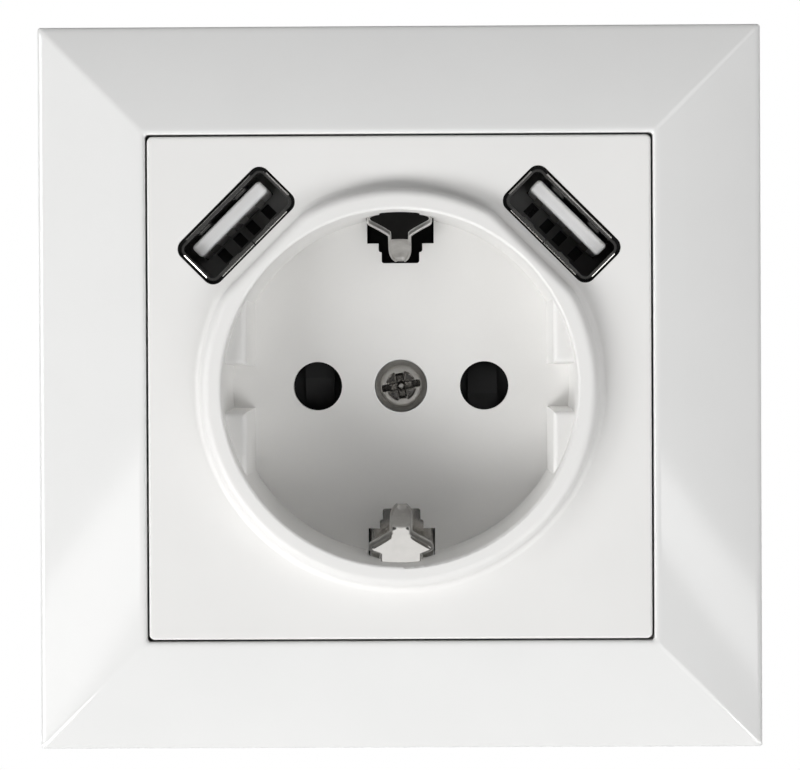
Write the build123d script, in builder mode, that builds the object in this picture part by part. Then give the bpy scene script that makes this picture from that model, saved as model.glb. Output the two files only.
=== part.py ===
"""USB wall socket: an earthed two-pin socket insert with two charging ports and its cover frame.

X runs to the right, Z up, Y into the wall. The wall plane is Y = 0 and the socket axis is the Y axis.
Heights are measured from the wall plane and are positive towards the room. All sizes are in mm.
"""

import os
from math import asin, cos, degrees, radians, sin, sqrt

from build123d import *

os.makedirs("parts", exist_ok=True)

# Plug interface
pin_spacing = 19.0
pin_hole_d = 5.55
well_d = 39.0
well_depth = 17.5
well_draft = 0.35
guide_depth = 2.63
guide_drop = 3.0
guide_notch = 5.3
guide_round = 0.55
earth_wide_in = 3.25
earth_wide_w = 7.6
earth_mid_step = 1.0
earth_mid_w = 5.0
earth_tip_step = 1.25
earth_tip_w = 4.3
earth_neck_w = 4.5
earth_neck_h = 6.2
earth_shoulder_h = 2.2

# Centre plate
rim_h = 11.5
collar_rise = 2.5
collar_wall = 2.4
collar_cut = 0.9
collar_round = 1.05
collar_foot = 0.8
plate_w = 55.35
plate_t = 2.0
plate_corner_r = 0.6
skirt_t = 1.5
tube_wall = 1.3
floor_t = 2.0
rim_round = 0.35

# Cover frame
frame_w = 80.0
frame_edge_h = 5.8
frame_proud = 0.2
frame_wall = 1.8
frame_crown = 0.22
frame_lip_round = 0.45
plate_gap = 0.28
ledge_top_h = 4.7
ledge_t = 1.3
ledge_reach = 2.35
ledge_corner_r = 3.0

# Charging ports
port_off = 4.3
port_angle = 45.0
port_w = 12.2
port_h = 4.85
port_sheet = 0.28
port_slot_w = 13.5
port_slot_h = 6.25
port_slot_r = 1.25
port_inset = 0.15
lip_len = 0.55
lip_taper = 8.0
lip_long = 10.0
lip_short = 3.5
lip_flange_gap = 0.2
tongue_w = 10.6
tongue_t = 1.7
tongue_off = 1.1
tongue_inset = 1.8
tongue_edge = 0.36
contact_us = (-3.5, -1.0, 1.0, 3.5)
contact_w = 1.0
contact_t = 0.3
window_w = 1.15
window_h = 1.5
window_gap = 0.25
spacer_t = 1.3

# Screw, shutter and earth strap
screw_d = 3.0
screw_head_d = 4.9
screw_head_t = 1.9
screw_bore_d = 6.0
screw_bore_depth = 3.0
boss_r = 4.5
shutter_run = 0.06
shutter_gap = 0.3
shutter_hub_r = 5.5
shutter_pad_r = 3.7
shutter_web = 1.2
ramp_w = 3.3
spring_wire = 0.45
spring_pitch = 0.52
strap_t = 0.7
strap_w = 8.0
leg_w = 5.0
leg_off = 1.4
slot_clear = 0.4
clip_top_h = 5.5
clip_bend_h = 0.7
clip_bend_in = 0.15
clip_nose_w = 2.66
clip_wing_w = 6.8
clip_neck_w = 4.2
peg_z = 8.6
peg_r = 0.8

# Base and rear cover
base_front_h = -11.0
base_front_t = 2.0
base_back_h = -31.4
base_edge = 1.7
base_side_gap = 0.7
base_wall = 1.6
cover_t = 2.0
rib_t = 1.0
rib_x = 4.9
rib_z = 8.0
boss_screw_r = 2.4
housing_in = 3.88
housing_side_in = 3.8
housing_z = 10.9
rest_r = 1.6
rest_low = (14.5, -1.0)
rest_high = (13.0, 19.5)
post_r = 2.2
post_off = 2.8
post_x = 7.0

# Support ring and claws
ring_inset = 4.5
ring_t = 1.0
ring_clear = 0.7
spare_hole_in = (8.5, 15.5)
spare_hole_r = 1.8
box_spacing = 60.0
box_slot_w = 4.0
box_slot_l = 7.0
claw_pivot_off = 1.1
claw_pivot_h = -3.0
claw_screw_off = 3.2
claw_back_off = 3.4
claw_len = 21.2
claw_w = 7.0
claw_t = 1.2
claw_pin_r = 0.9
claw_run = 0.05
claw_gap = 0.3
lug_in = 4.1
nut_w = 3.4
nut_l = 6.8
nut_t = 1.7

# Boards, terminals and electronics
board_t = 1.6
port_board_h = -4.5
port_board_edge = 3.6
main_board_h = -29.0
main_board_low = -8.8
link_in = 1.5
link_pitch = 2.54
link_pin = 0.64
blade_t = 0.8
blade_w = 5.0
term_z = -14.0
term_h = -21.0
term_screw_r = 1.75
wire_gap = 2.5
contact_grip = 4.44
clamp_w = 6.0
clamp_l = 6.4
clamp_t = 1.2
term_head_r = 2.8
term_head_t = 1.9
term_reach_r = 3.2
core_w = 14.0
core_d = 11.0
core_t = 5.0
core_z = 13.4
core_window_w = 3.0
core_window_d = 6.0
coil_w = 10.0
coil_l = 11.0
coil_t = 6.0
coil_round = 2.0
can_gap = 1.3
input_can = (4.0, 12.0, 127.9)
output_can = (3.15, 9.0, 56.8)
bridge_w = 4.0
bridge_l = 4.7
bridge_t = 2.4
bridge_spot = (11.0, 11.4)
fuse_r = 1.5
fuse_l = 8.0
fuse_z = 4.0
lead_t = 0.6

# Small screws
small_screw_r = 1.25
small_head_r = 2.3
small_head_t = 1.1
small_screw_l = 8.5
ring_head_t = 1.5
drive_w = 0.55
drive_l = 2.6
claw_head_r = 2.45
claw_head_t = 1.6
claw_screw_l = 12.0

# Sizes that follow from the ones above
diag = sqrt(0.5)
plate_h = rim_h - collar_rise
floor_h = rim_h - well_depth
floor_back_h = floor_h - floor_t
window_side = plate_w + 2 * plate_gap
frame_lip_h = plate_h + frame_proud
window_half = window_side / 2
frame_half = frame_w / 2
pin_x = pin_spacing / 2
well_taper = degrees(well_draft / well_depth)
port_front_h = plate_h - port_inset
outer_w = port_w + 2 * port_sheet
outer_h = port_h + 2 * port_sheet
window_v = tongue_off - tongue_t / 2 - window_gap - window_h / 2
port_back_h = port_board_h
shelf_h = port_board_h - board_t
rotor_front_h = floor_back_h - shutter_gap
rotor_back_h = base_front_h + shutter_gap
cup_floor_h = base_front_h - base_front_t
hook_x = peg_r + spring_wire / 2 + 0.05
well_r = well_d / 2
well_floor_r = well_r - well_draft
collar_r = well_r + collar_wall
collar_flat_r = collar_r - collar_cut
tube_r = well_r + tube_wall
guide_x = well_r - guide_depth
earth_wide_z = well_r - earth_wide_in
earth_mid_z = earth_wide_z - earth_mid_step
earth_tip_z = earth_mid_z - earth_tip_step
clip_bend_z = earth_wide_z - clip_bend_in
leg_z = tube_r + leg_off
port_r = collar_flat_r + port_off
port_board_r = port_r + port_board_edge
ring_w = frame_w - 2 * ring_inset
ring_open_r = tube_r + ring_clear
spare_hole = (ring_w / 2 - spare_hole_in[0], spare_hole_in[1] - ring_w / 2)
claw_pivot_x = ring_open_r + claw_pivot_off
claw_screw_x = claw_pivot_x + claw_screw_off
claw_back_x = claw_screw_x + claw_back_off
base_r = port_r + base_edge
base_flat = claw_screw_x - screw_d / 2 - base_side_gap
link_z = base_r - base_wall - link_in
housing_x = (base_r - housing_in) * diag
housing_side_x = base_flat - housing_side_in
housing_pts = (
    (housing_x, -housing_x), (-housing_x, -housing_x), (housing_side_x, housing_z), (-housing_side_x, housing_z),
)
post_ring_r = tube_r + post_off
post_low = post_ring_r * diag
post_pts = ((post_x, post_ring_r), (-post_x, post_ring_r), (post_low, -post_low), (-post_low, -post_low))
span = 4 * base_r


def at(h):
    """Plane parallel to the wall at a height, facing the room, with X right and Z up."""
    return Plane.XZ.offset(h)


def port_plane(side, h):
    """Plane of a port at a height: local x along the slot, local y away from the socket axis."""
    centre = (side * port_r * diag, -h, port_r * diag)
    return Plane(origin=centre, x_dir=(diag, 0, -side * diag), z_dir=(0, -1, 0))


def port_section(side, u):
    """Plane across a port at a distance along its slot: local x away from the axis, local y to the room."""
    out = (side * diag, 0, diag)
    along = (diag, 0, -side * diag)
    centre = (side * port_r * diag + u * along[0], 0, port_r * diag + u * along[2])
    return Plane(origin=centre, x_dir=out, z_dir=along)


# Cover frame
with BuildPart() as frame_cavity:
    roof = ((frame_half - frame_wall, -1.0), (frame_half - frame_wall, frame_edge_h - 1.7))
    crest = (window_half + 1.45, frame_lip_h - 2.0)
    with BuildSketch(Plane.XY):
        with BuildLine():
            Polyline(
                (-roof[0][0], 1.0), (-roof[1][0], -roof[1][1]), (-crest[0], -crest[1]),
                (crest[0], -crest[1]), (roof[1][0], -roof[1][1]), (roof[0][0], 1.0), close=True,
            )
        make_face()
    extrude(amount=frame_half - frame_wall, both=True)
    with BuildSketch(Plane.YZ):
        with BuildLine():
            Polyline(
                (1.0, -roof[0][0]), (-roof[1][1], -roof[1][0]), (-crest[1], -crest[0]),
                (-crest[1], crest[0]), (-roof[1][1], roof[1][0]), (1.0, roof[0][0]), close=True,
            )
        make_face()
    extrude(amount=frame_half - frame_wall, both=True, mode=Mode.INTERSECT)
    with BuildSketch(at(ledge_top_h - ledge_t)):
        Rectangle(2 * crest[0], 2 * crest[0])
    extrude(amount=10, mode=Mode.SUBTRACT)

with BuildPart() as cover_frame:
    mid_x = (frame_half + window_half) / 2
    mid_h = (frame_edge_h + frame_lip_h) / 2 + frame_crown
    with BuildSketch(Plane.XY):
        with BuildLine():
            Polyline((-window_half, -frame_lip_h), (window_half, -frame_lip_h))
            ThreePointArc((window_half, -frame_lip_h), (mid_x, -mid_h), (frame_half, -frame_edge_h))
            Polyline((frame_half, -frame_edge_h), (frame_half, 0), (-frame_half, 0), (-frame_half, -frame_edge_h))
            ThreePointArc((-frame_half, -frame_edge_h), (-mid_x, -mid_h), (-window_half, -frame_lip_h))
        make_face()
    extrude(amount=frame_half, both=True)
    with BuildSketch(Plane.YZ):
        with BuildLine():
            Polyline((-frame_lip_h, -window_half), (-frame_lip_h, window_half))
            ThreePointArc((-frame_lip_h, window_half), (-mid_h, mid_x), (-frame_edge_h, frame_half))
            Polyline((-frame_edge_h, frame_half), (0, frame_half), (0, -frame_half), (-frame_edge_h, -frame_half))
            ThreePointArc((-frame_edge_h, -frame_half), (-mid_h, -mid_x), (-frame_lip_h, -window_half))
        make_face()
    extrude(amount=frame_half, both=True, mode=Mode.INTERSECT)
    with BuildSketch(at(frame_lip_h)):
        Rectangle(window_side, window_side)
    extrude(amount=ledge_top_h - frame_lip_h, mode=Mode.SUBTRACT)
    rim_edges = [
        e for e in cover_frame.edges()
        if e.center().Y < -frame_lip_h + 0.1 and max(abs(e.center().X), abs(e.center().Z)) > window_half - 0.05
    ]
    fillet(rim_edges, radius=frame_lip_round)
    with BuildSketch(at(frame_lip_h)):
        RectangleRounded(window_side - 2 * ledge_reach, window_side - 2 * ledge_reach, ledge_corner_r)
    extrude(amount=-frame_lip_h - 10, mode=Mode.SUBTRACT)
    add(frame_cavity.part, mode=Mode.SUBTRACT)
cover_frame.part.label = "cover_frame"
export_step(cover_frame.part, "parts/cover_frame.step")

# Centre plate with collar and well
with BuildPart() as centre_plate:
    with BuildSketch(at(plate_h)):
        RectangleRounded(plate_w, plate_w, plate_corner_r)
    extrude(amount=ledge_top_h - plate_h)
    with BuildSketch(at(plate_h - plate_t)):
        Rectangle(plate_w - 2 * skirt_t, plate_w - 2 * skirt_t)
    extrude(amount=ledge_top_h - plate_h + plate_t, mode=Mode.SUBTRACT)
    fillet(centre_plate.faces().sort_by(Axis.Y)[0].edges(), radius=0.3)
    with BuildSketch(at(plate_h)) as collar_plan:
        Circle(collar_r)
        with PolarLocations(collar_flat_r + 5, 2, start_angle=port_angle, angular_range=180):
            Rectangle(10, 30, mode=Mode.SUBTRACT)
        fillet(collar_plan.vertices(), radius=5.0)
    extrude(amount=collar_rise)
    fillet(centre_plate.faces().sort_by(Axis.Y)[0].outer_wire().edges(), radius=collar_round)
    foot = [
        e for e in centre_plate.edges()
        if abs(e.center().Y + plate_h) < 0.01 and (e @ 0.5).X ** 2 + (e @ 0.5).Z ** 2 < (collar_r + 0.1) ** 2
    ]
    fillet(foot, radius=collar_foot)
    with BuildSketch(at(plate_h - plate_t)):
        Circle(tube_r)
    extrude(amount=floor_back_h - plate_h + plate_t)
    with BuildSketch(at(rim_h)):
        Circle(well_r)
    extrude(amount=-well_depth, taper=well_taper, mode=Mode.SUBTRACT)
    rim = [
        e for e in centre_plate.edges().filter_by(GeomType.CIRCLE)
        if abs(e.radius - well_r) < 0.01 and abs((e @ 0).Y + rim_h) < 0.01
    ]
    fillet(rim, radius=rim_round)
    with BuildSketch(at(rim_h - guide_drop)) as guide_plan:
        Circle(tube_r - 0.7)
        Rectangle(2 * guide_x, span, mode=Mode.SUBTRACT)
        Rectangle(span, guide_notch, mode=Mode.SUBTRACT)
    extrude(amount=floor_h - rim_h + guide_drop, taper=-1.0)
    guide_edges = [
        e for e in centre_plate.edges().filter_by(GeomType.LINE)
        if abs(e.center().Y + rim_h - guide_drop) < 0.02 and abs(e.center().X) > guide_x - 0.1
    ]
    fillet(guide_edges, radius=guide_round)
    with BuildSketch(at(floor_back_h)):
        Circle(boss_r)
    extrude(amount=base_front_h - floor_back_h)
    with BuildSketch(at(floor_h)):
        Circle(screw_bore_d / 2)
    extrude(amount=-screw_bore_depth, mode=Mode.SUBTRACT)
    with BuildSketch(at(floor_h)):
        Circle(screw_d / 2 + 0.2)
    extrude(amount=-8, mode=Mode.SUBTRACT)
    with BuildSketch(at(floor_h)):
        with Locations((pin_x, 0), (-pin_x, 0)):
            Circle(pin_hole_d / 2)
    extrude(amount=-floor_t - 0.5, mode=Mode.SUBTRACT)
    earth_end_z = tube_r + 0.4
    with BuildSketch(at(floor_h + 0.5)):
        for sign in (1, -1):
            with Locations((0, sign * (earth_tip_z + earth_mid_z + 0.5) / 2)):
                RectangleRounded(earth_tip_w, earth_mid_z + 0.5 - earth_tip_z, 0.3)
            with Locations((0, sign * (earth_mid_z + earth_wide_z + 0.4) / 2)):
                RectangleRounded(earth_mid_w, earth_wide_z + 0.4 - earth_mid_z, 0.3)
            with Locations((0, sign * (earth_wide_z + earth_end_z) / 2)):
                Rectangle(earth_wide_w, earth_end_z - earth_wide_z)
    extrude(amount=-floor_t - 1, mode=Mode.SUBTRACT)
    with BuildSketch(Plane.XY.offset(earth_wide_z)) as earth_way:
        wide_x = earth_wide_w / 2
        neck_x = earth_neck_w / 2
        slope_h = earth_shoulder_h - 1.2 * (wide_x - neck_x)
        with BuildLine():
            Polyline(
                (-wide_x, 1 - floor_back_h), (-wide_x, -slope_h), (-neck_x, -earth_shoulder_h),
                (-neck_x, -earth_neck_h), (neck_x, -earth_neck_h), (neck_x, -earth_shoulder_h),
                (wide_x, -slope_h), (wide_x, 1 - floor_back_h), close=True,
            )
        make_face()
    extrude(amount=earth_end_z + 1 - earth_wide_z, mode=Mode.SUBTRACT)
    extrude(
        earth_way.sketch.mirror(Plane.XY), amount=earth_end_z + 1 - earth_wide_z,
        dir=(0, 0, -1), mode=Mode.SUBTRACT,
    )
    for side in (-1, 1):
        with BuildSketch(port_plane(side, plate_h)):
            RectangleRounded(port_slot_w, port_slot_h, port_slot_r)
        extrude(amount=-plate_t - 0.2, mode=Mode.SUBTRACT)
    with BuildSketch(at(floor_back_h)):
        with Locations((0, peg_z)):
            Circle(peg_r)
    extrude(amount=rotor_front_h - shutter_gap - floor_back_h - 0.9)
centre_plate.part.label = "centre_plate"
export_step(centre_plate.part, "parts/centre_plate.step")

# Cover screw
with BuildPart() as cover_screw:
    seat_h = floor_h - screw_bore_depth
    with BuildSketch(at(seat_h)):
        Circle(screw_head_d / 2)
    extrude(amount=screw_head_t)
    fillet(cover_screw.edges().sort_by(Axis.Y)[0], radius=0.5)
    with BuildSketch(at(seat_h)):
        Circle(screw_d / 2)
    extrude(amount=-8.0)
    chamfer(cover_screw.edges().sort_by(Axis.Y)[-1], length=0.4)
    with BuildSketch(at(seat_h + screw_head_t)):
        SlotOverall(4.3, 0.75, rotation=10)
        Rectangle(3.1, 0.8, rotation=55)
        Rectangle(3.1, 0.8, rotation=145)
    extrude(amount=-1.1, mode=Mode.SUBTRACT)
cover_screw.part.label = "cover_screw"
export_step(cover_screw.part, "parts/cover_screw.step")

# Shutter rotor with a ramp behind each pin hole
with BuildPart() as shutter_rotor:
    web_h = rotor_back_h + shutter_web
    with BuildSketch(at(rotor_back_h)):
        Circle(shutter_hub_r)
        Rectangle(2 * pin_x, 5.0)
        with Locations((pin_x, 0), (-pin_x, 0)):
            Circle(shutter_pad_r)
        with Locations((hook_x, -peg_z)):
            Rectangle(2 * peg_r + 0.6, peg_z, align=(Align.CENTER, Align.MIN))
            Circle(peg_r + 0.3)
    extrude(amount=shutter_web)
    with BuildSketch(at(web_h)):
        Circle(shutter_hub_r)
        with Locations((hook_x, -peg_z)):
            Circle(peg_r)
    extrude(amount=rotor_front_h - web_h)
    for side in (-1, 1):
        with BuildSketch(Plane.YZ.offset(side * (pin_x - 0.2) - ramp_w / 2)):
            with BuildLine():
                Polyline(
                    (-web_h, 3.1 * side), (-web_h, -3.1 * side), (-rotor_front_h, -3.1 * side),
                    (-rotor_front_h, -0.9 * side), close=True,
                )
            make_face()
        extrude(amount=ramp_w)
    with BuildSketch(at(rotor_back_h)):
        Circle(boss_r + shutter_run)
    extrude(amount=5, mode=Mode.SUBTRACT)
shutter_rotor.part.label = "shutter_rotor"
export_step(shutter_rotor.part, "parts/shutter_rotor.step")

# Shutter spring: turns round the hub, one end beside the plate's peg and one beside the rotor's peg
with BuildPart() as shutter_spring:
    coil_r = shutter_hub_r + 0.15 + spring_wire / 2
    coil_h = web_h + 0.05 + spring_wire / 2
    spring_turns = 1.5 + degrees(asin(hook_x / peg_z)) / 360
    with BuildLine():
        turns = Helix(
            pitch=spring_pitch, height=spring_pitch * spring_turns, radius=coil_r,
            center=(0, -coil_h, 0), direction=(0, -1, 0),
        )
    with BuildSketch(Plane(origin=turns @ 0, z_dir=turns % 0)):
        RegularPolygon(spring_wire / 2, 8)
    sweep(path=turns, is_frenet=True)
    for end in (turns @ 0, turns @ 1):
        out = Vector(end.X, 0, end.Z).normalized()
        with BuildSketch(Plane(origin=end - out * 0.1, z_dir=out)):
            RegularPolygon(spring_wire / 2, 8)
        extrude(amount=peg_z + peg_r / 2 - coil_r)
shutter_spring.part.label = "shutter_spring"
export_step(shutter_spring.part, "parts/shutter_spring.step")

# Earth strap with the two spring clips and the terminal tab
with BuildPart() as earth_strap:
    bar_y = -base_front_h + strap_t / 2
    with BuildSketch(Plane.YZ):
        with BuildLine():
            FilletPolyline((bar_y, -leg_z + 3), (bar_y, -leg_z), (-3.0, -leg_z), radius=0.8)
        trace(line_width=strap_t)
        with BuildLine():
            FilletPolyline((bar_y, leg_z - 3), (bar_y, leg_z), (-3.0, leg_z), radius=0.8)
        trace(line_width=strap_t)
    extrude(amount=leg_w / 2, both=True)
    with BuildSketch(at(base_front_h)):
        Rectangle(strap_w, 2 * leg_z - 4)
    extrude(amount=-strap_t)
    with BuildSketch(at(base_front_h - strap_t)):
        Circle(2.3)
    extrude(amount=-2.2)
    with BuildSketch(at(base_front_h)):
        Circle(screw_d / 2)
    extrude(amount=-6, mode=Mode.SUBTRACT)
    with BuildSketch(at(base_front_h)):
        with Locations((0, term_z - blade_t / 2)):
            Rectangle(6.4, blade_t)
    extrude(amount=-14.0)
    with BuildSketch(Plane.XY.offset(term_z + 1)):
        with Locations((0, -term_h)):
            Circle(term_screw_r)
    extrude(amount=-3, mode=Mode.SUBTRACT)

with BuildPart() as clip_form:
    with BuildSketch(Plane.YZ):
        with BuildLine():
            FilletPolyline(
                (-clip_top_h + 2.6, leg_z), (-clip_top_h, leg_z), (-clip_bend_h, clip_bend_z),
                (4.9, earth_tip_z + 0.1), radius=1.0,
            )
        trace(line_width=strap_t)
    extrude(amount=leg_w, both=True)
    with BuildSketch(at(0)) as clip_plan:
        tip_z = earth_tip_z - 0.8
        wing_z = well_floor_r - 0.95
        neck_z = well_floor_r
        nose = clip_nose_w / 2
        wing = clip_wing_w / 2
        neck = clip_neck_w / 2
        foot_x = leg_w / 2
        with BuildLine():
            Polyline(
                (0, tip_z), (-0.41 * nose, tip_z + 0.12), (-0.79 * nose, tip_z + 0.5),
                (-nose, tip_z + 1.2), (-nose, clip_bend_z - 0.1),
            )
            Spline(
                (-nose, clip_bend_z - 0.1), (-nose - 0.42, clip_bend_z + 1.05), (-wing, wing_z),
                tangents=((0, 1), (-1, 0.72)),
            )
            Polyline(
                (-wing, wing_z), (-wing, wing_z + 0.25), (-neck, neck_z), (-neck, tube_r + 0.5),
                (-foot_x, tube_r + 0.8), (-foot_x, leg_z + 1.8), (foot_x, leg_z + 1.8),
                (foot_x, tube_r + 0.8), (neck, tube_r + 0.5), (neck, neck_z), (wing, wing_z + 0.25), (wing, wing_z),
            )
            Spline(
                (wing, wing_z), (nose + 0.42, clip_bend_z + 1.05), (nose, clip_bend_z - 0.1),
                tangents=((-1, -0.72), (0, -1)),
            )
            Polyline(
                (nose, clip_bend_z - 0.1), (nose, tip_z + 1.2), (0.79 * nose, tip_z + 0.5),
                (0.41 * nose, tip_z + 0.12), (0, tip_z),
            )
        make_face()
    extrude(amount=12, both=True, mode=Mode.INTERSECT)
with BuildPart(mode=Mode.PRIVATE) as earth_whole:
    add(earth_strap.part)
    add(clip_form.part)
    add(clip_form.part.mirror(Plane.XY))
earth_whole.part.label = "earth_strap"
export_step(earth_whole.part, "parts/earth_strap.step")

# Base body: contact chambers, electronics chamber, shelf for the port board and posts for the ring
with BuildPart() as base_body:
    with BuildSketch(at(base_front_h)):
        Circle(base_r)
        Rectangle(2 * base_flat, 2 * base_r, mode=Mode.INTERSECT)
    extrude(amount=base_back_h - base_front_h)
    with BuildSketch(at(base_front_h)):
        Circle(base_r)
        Circle(tube_r + 0.5, mode=Mode.SUBTRACT)
        wedge = (span * cos(radians(25)), span * sin(radians(25)))
        Polygon((0, 0), wedge, (0, span), (-wedge[0], wedge[1]), align=None, mode=Mode.INTERSECT)
    extrude(amount=shelf_h - base_front_h)
    with BuildSketch(at(base_front_h)):
        with Locations(*post_pts):
            Circle(post_r)
    extrude(amount=-base_front_h)
    with BuildSketch(at(cup_floor_h)):
        Circle(base_r - base_wall)
        Rectangle(2 * (base_flat - base_wall), 2 * base_r, mode=Mode.INTERSECT)
    extrude(amount=base_back_h - cup_floor_h, mode=Mode.SUBTRACT)
    with BuildSketch(at(cup_floor_h)):
        with Locations((rib_x, rib_z / 2 - 13.2), (-rib_x, rib_z / 2 - 13.2)):
            Rectangle(rib_t, rib_z + 26.4)
        with Locations((0, rib_z)):
            Rectangle(2 * base_flat - 1.6, 1.2)
    extrude(amount=main_board_h - cup_floor_h)
    with BuildSketch(at(cup_floor_h)):
        with Locations(*housing_pts):
            Circle(boss_screw_r)
    extrude(amount=base_back_h - cup_floor_h)
    with BuildSketch(at(base_back_h)):
        with Locations(*housing_pts):
            Circle(small_screw_r)
    extrude(amount=small_screw_l + 1.5, mode=Mode.SUBTRACT)
    with BuildSketch(at(0)):
        with Locations(*post_pts):
            Circle(small_screw_r)
    extrude(amount=-small_screw_l - 0.5, mode=Mode.SUBTRACT)
    with BuildSketch(at(base_front_h)):
        Rectangle(strap_w + 0.3, 2 * leg_z + strap_t + 0.3)
    extrude(amount=-strap_t, mode=Mode.SUBTRACT)
    with BuildSketch(at(base_front_h)):
        with Locations((0, leg_z)):
            Rectangle(leg_w + 2 * slot_clear, strap_t + 2 * slot_clear + 1.0)
    extrude(amount=10, mode=Mode.SUBTRACT)
    with BuildSketch(at(base_front_h)):
        Circle(2.6)
        with Locations((pin_x, 0), (-pin_x, 0)):
            Circle(2.75)
        with Locations((0, term_z - blade_t / 2)):
            Rectangle(6.8, blade_t + 0.4)
    extrude(amount=-4, mode=Mode.SUBTRACT)
    with BuildSketch(at(shelf_h)):
        with Locations((0, link_z)):
            Rectangle(4 * link_pitch, link_pin + 0.5)
    extrude(amount=-10, mode=Mode.SUBTRACT)
    for side in (-1, 1):
        with BuildSketch(port_plane(side, shelf_h)):
            Rectangle(10.0, 3.0)
            with Locations((outer_w / 2 - port_sheet / 2, 0), (port_sheet / 2 - outer_w / 2, 0)):
                Rectangle(1.4, 2.6)
        extrude(amount=-2.0, mode=Mode.SUBTRACT)
    with BuildSketch(Plane.XY.offset(-base_r - 0.5)):
        with Locations((-pin_x, -term_h), (0, -term_h), (pin_x, -term_h)):
            Circle(term_reach_r)
    extrude(amount=7, mode=Mode.SUBTRACT)
base_body.part.label = "base_body"
export_step(base_body.part, "parts/base_body.step")

# Rear cover with wire entries
with BuildPart() as rear_cover:
    with BuildSketch(at(base_back_h)):
        Circle(base_r)
        Rectangle(2 * base_flat, 2 * base_r, mode=Mode.INTERSECT)
    extrude(amount=-cover_t)
    chamfer(rear_cover.faces().sort_by(Axis.Y)[-1].outer_wire().edges(), length=0.8)
    with BuildSketch(at(base_back_h)):
        for x, z in (rest_low, rest_high):
            with Locations((x, z), (-x, z)):
                Circle(rest_r)
    extrude(amount=main_board_h - board_t - base_back_h)
    wire_z = term_z - blade_t - wire_gap / 2
    with BuildSketch(at(base_back_h - cover_t)):
        with Locations((-pin_x, wire_z), (0, wire_z), (pin_x, wire_z)):
            Circle(2.3)
        with Locations(*housing_pts):
            Circle(small_screw_r + 0.2)
    extrude(amount=cover_t + 0.5, mode=Mode.SUBTRACT)
    with BuildSketch(at(base_back_h - cover_t)):
        with Locations(*housing_pts):
            Circle(small_head_r + 0.3)
    extrude(amount=small_head_t, mode=Mode.SUBTRACT)
    with BuildSketch(at(base_back_h - cover_t)):
        with Locations((0, 2.0), (0, 5.0), (0, 8.0), (0, 11.0)):
            SlotOverall(16, 1.4)
    extrude(amount=cover_t + 0.5, mode=Mode.SUBTRACT)
rear_cover.part.label = "rear_cover"
export_step(rear_cover.part, "parts/rear_cover.step")

# Screws of the rear cover
with BuildPart() as housing_screws:
    head_h = base_back_h - cover_t + small_head_t
    with BuildSketch(at(head_h)):
        with Locations(*housing_pts):
            Circle(small_head_r)
    extrude(amount=-small_head_t)
    with BuildSketch(at(head_h)):
        with Locations(*housing_pts):
            Circle(small_screw_r)
    extrude(amount=small_screw_l)
    with BuildSketch(at(head_h - small_head_t)):
        with Locations(*housing_pts):
            Rectangle(drive_l, drive_w)
            Rectangle(drive_w, drive_l)
    extrude(amount=0.65 * small_head_t, mode=Mode.SUBTRACT)
housing_screws.part.label = "housing_screws"
export_step(housing_screws.part, "parts/housing_screws.step")

# Line and neutral contacts: a forked spring with a solder pin and a terminal plate
for side, name in ((-1, "contact_line"), (1, "contact_neutral")):
    mouth_y = 0.4 - cup_floor_h
    back_y = -main_board_h - 2.2
    grip = (contact_grip + blade_t) / 2
    with BuildPart() as blade:
        with BuildSketch(Plane.YZ.offset(side * pin_x)):
            with BuildLine():
                FilletPolyline(
                    (mouth_y, grip + 0.88), (mouth_y + 2.8, grip), (mouth_y + 7.1, grip + 0.58),
                    (back_y, grip + 0.58), (back_y, -grip - 0.58), (mouth_y + 7.1, -grip - 0.58),
                    (mouth_y + 2.8, -grip), (mouth_y, -grip - 0.88), radius=0.7,
                )
            trace(line_width=blade_t)
            with BuildLine():
                FilletPolyline(
                    (back_y, -2.0), (back_y, term_z - blade_t / 2), (-term_h - 4.0, term_z - blade_t / 2),
                    radius=0.7,
                )
            trace(line_width=blade_t)
        extrude(amount=blade_w / 2, both=True)
        with BuildSketch(at(-back_y)):
            with Locations((side * pin_x, 0)):
                Rectangle(1.8, blade_t)
        extrude(amount=-4.6)
        with BuildSketch(Plane.XY.offset(term_z + 1)):
            with Locations((side * pin_x, -term_h)):
                Circle(term_screw_r)
        extrude(amount=-3, mode=Mode.SUBTRACT)
    blade.part.label = name
    export_step(blade.part, "parts/" + name + ".step")

# Terminal screws and clamp plates
clamp_z = term_z - blade_t - wire_gap
term_pts = ((-pin_x, -term_h), (0, -term_h), (pin_x, -term_h))
with BuildPart() as clamp_plates:
    with BuildSketch(Plane.XY.offset(clamp_z)):
        with Locations(*term_pts):
            Rectangle(clamp_w, clamp_l)
            Circle(term_screw_r + 0.15, mode=Mode.SUBTRACT)
    extrude(amount=-clamp_t)
clamp_plates.part.label = "clamp_plates"
export_step(clamp_plates.part, "parts/clamp_plates.step")

with BuildPart() as terminal_screws:
    head_z = clamp_z - clamp_t
    with BuildSketch(Plane.XY.offset(head_z)):
        with Locations(*term_pts):
            Circle(term_head_r)
    extrude(amount=-term_head_t)
    with BuildSketch(Plane.XY.offset(head_z)):
        with Locations(*term_pts):
            Circle(term_screw_r)
    extrude(amount=clamp_t + wire_gap + blade_t + 3.1)
    with BuildSketch(Plane.XY.offset(head_z - term_head_t)):
        with Locations(*term_pts):
            Rectangle(1.65 * term_head_r, 0.8)
            Rectangle(0.8, 1.15 * term_head_r)
    extrude(amount=0.55 * term_head_t, mode=Mode.SUBTRACT)
terminal_screws.part.label = "terminal_screws"
export_step(terminal_screws.part, "parts/terminal_screws.step")

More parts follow.
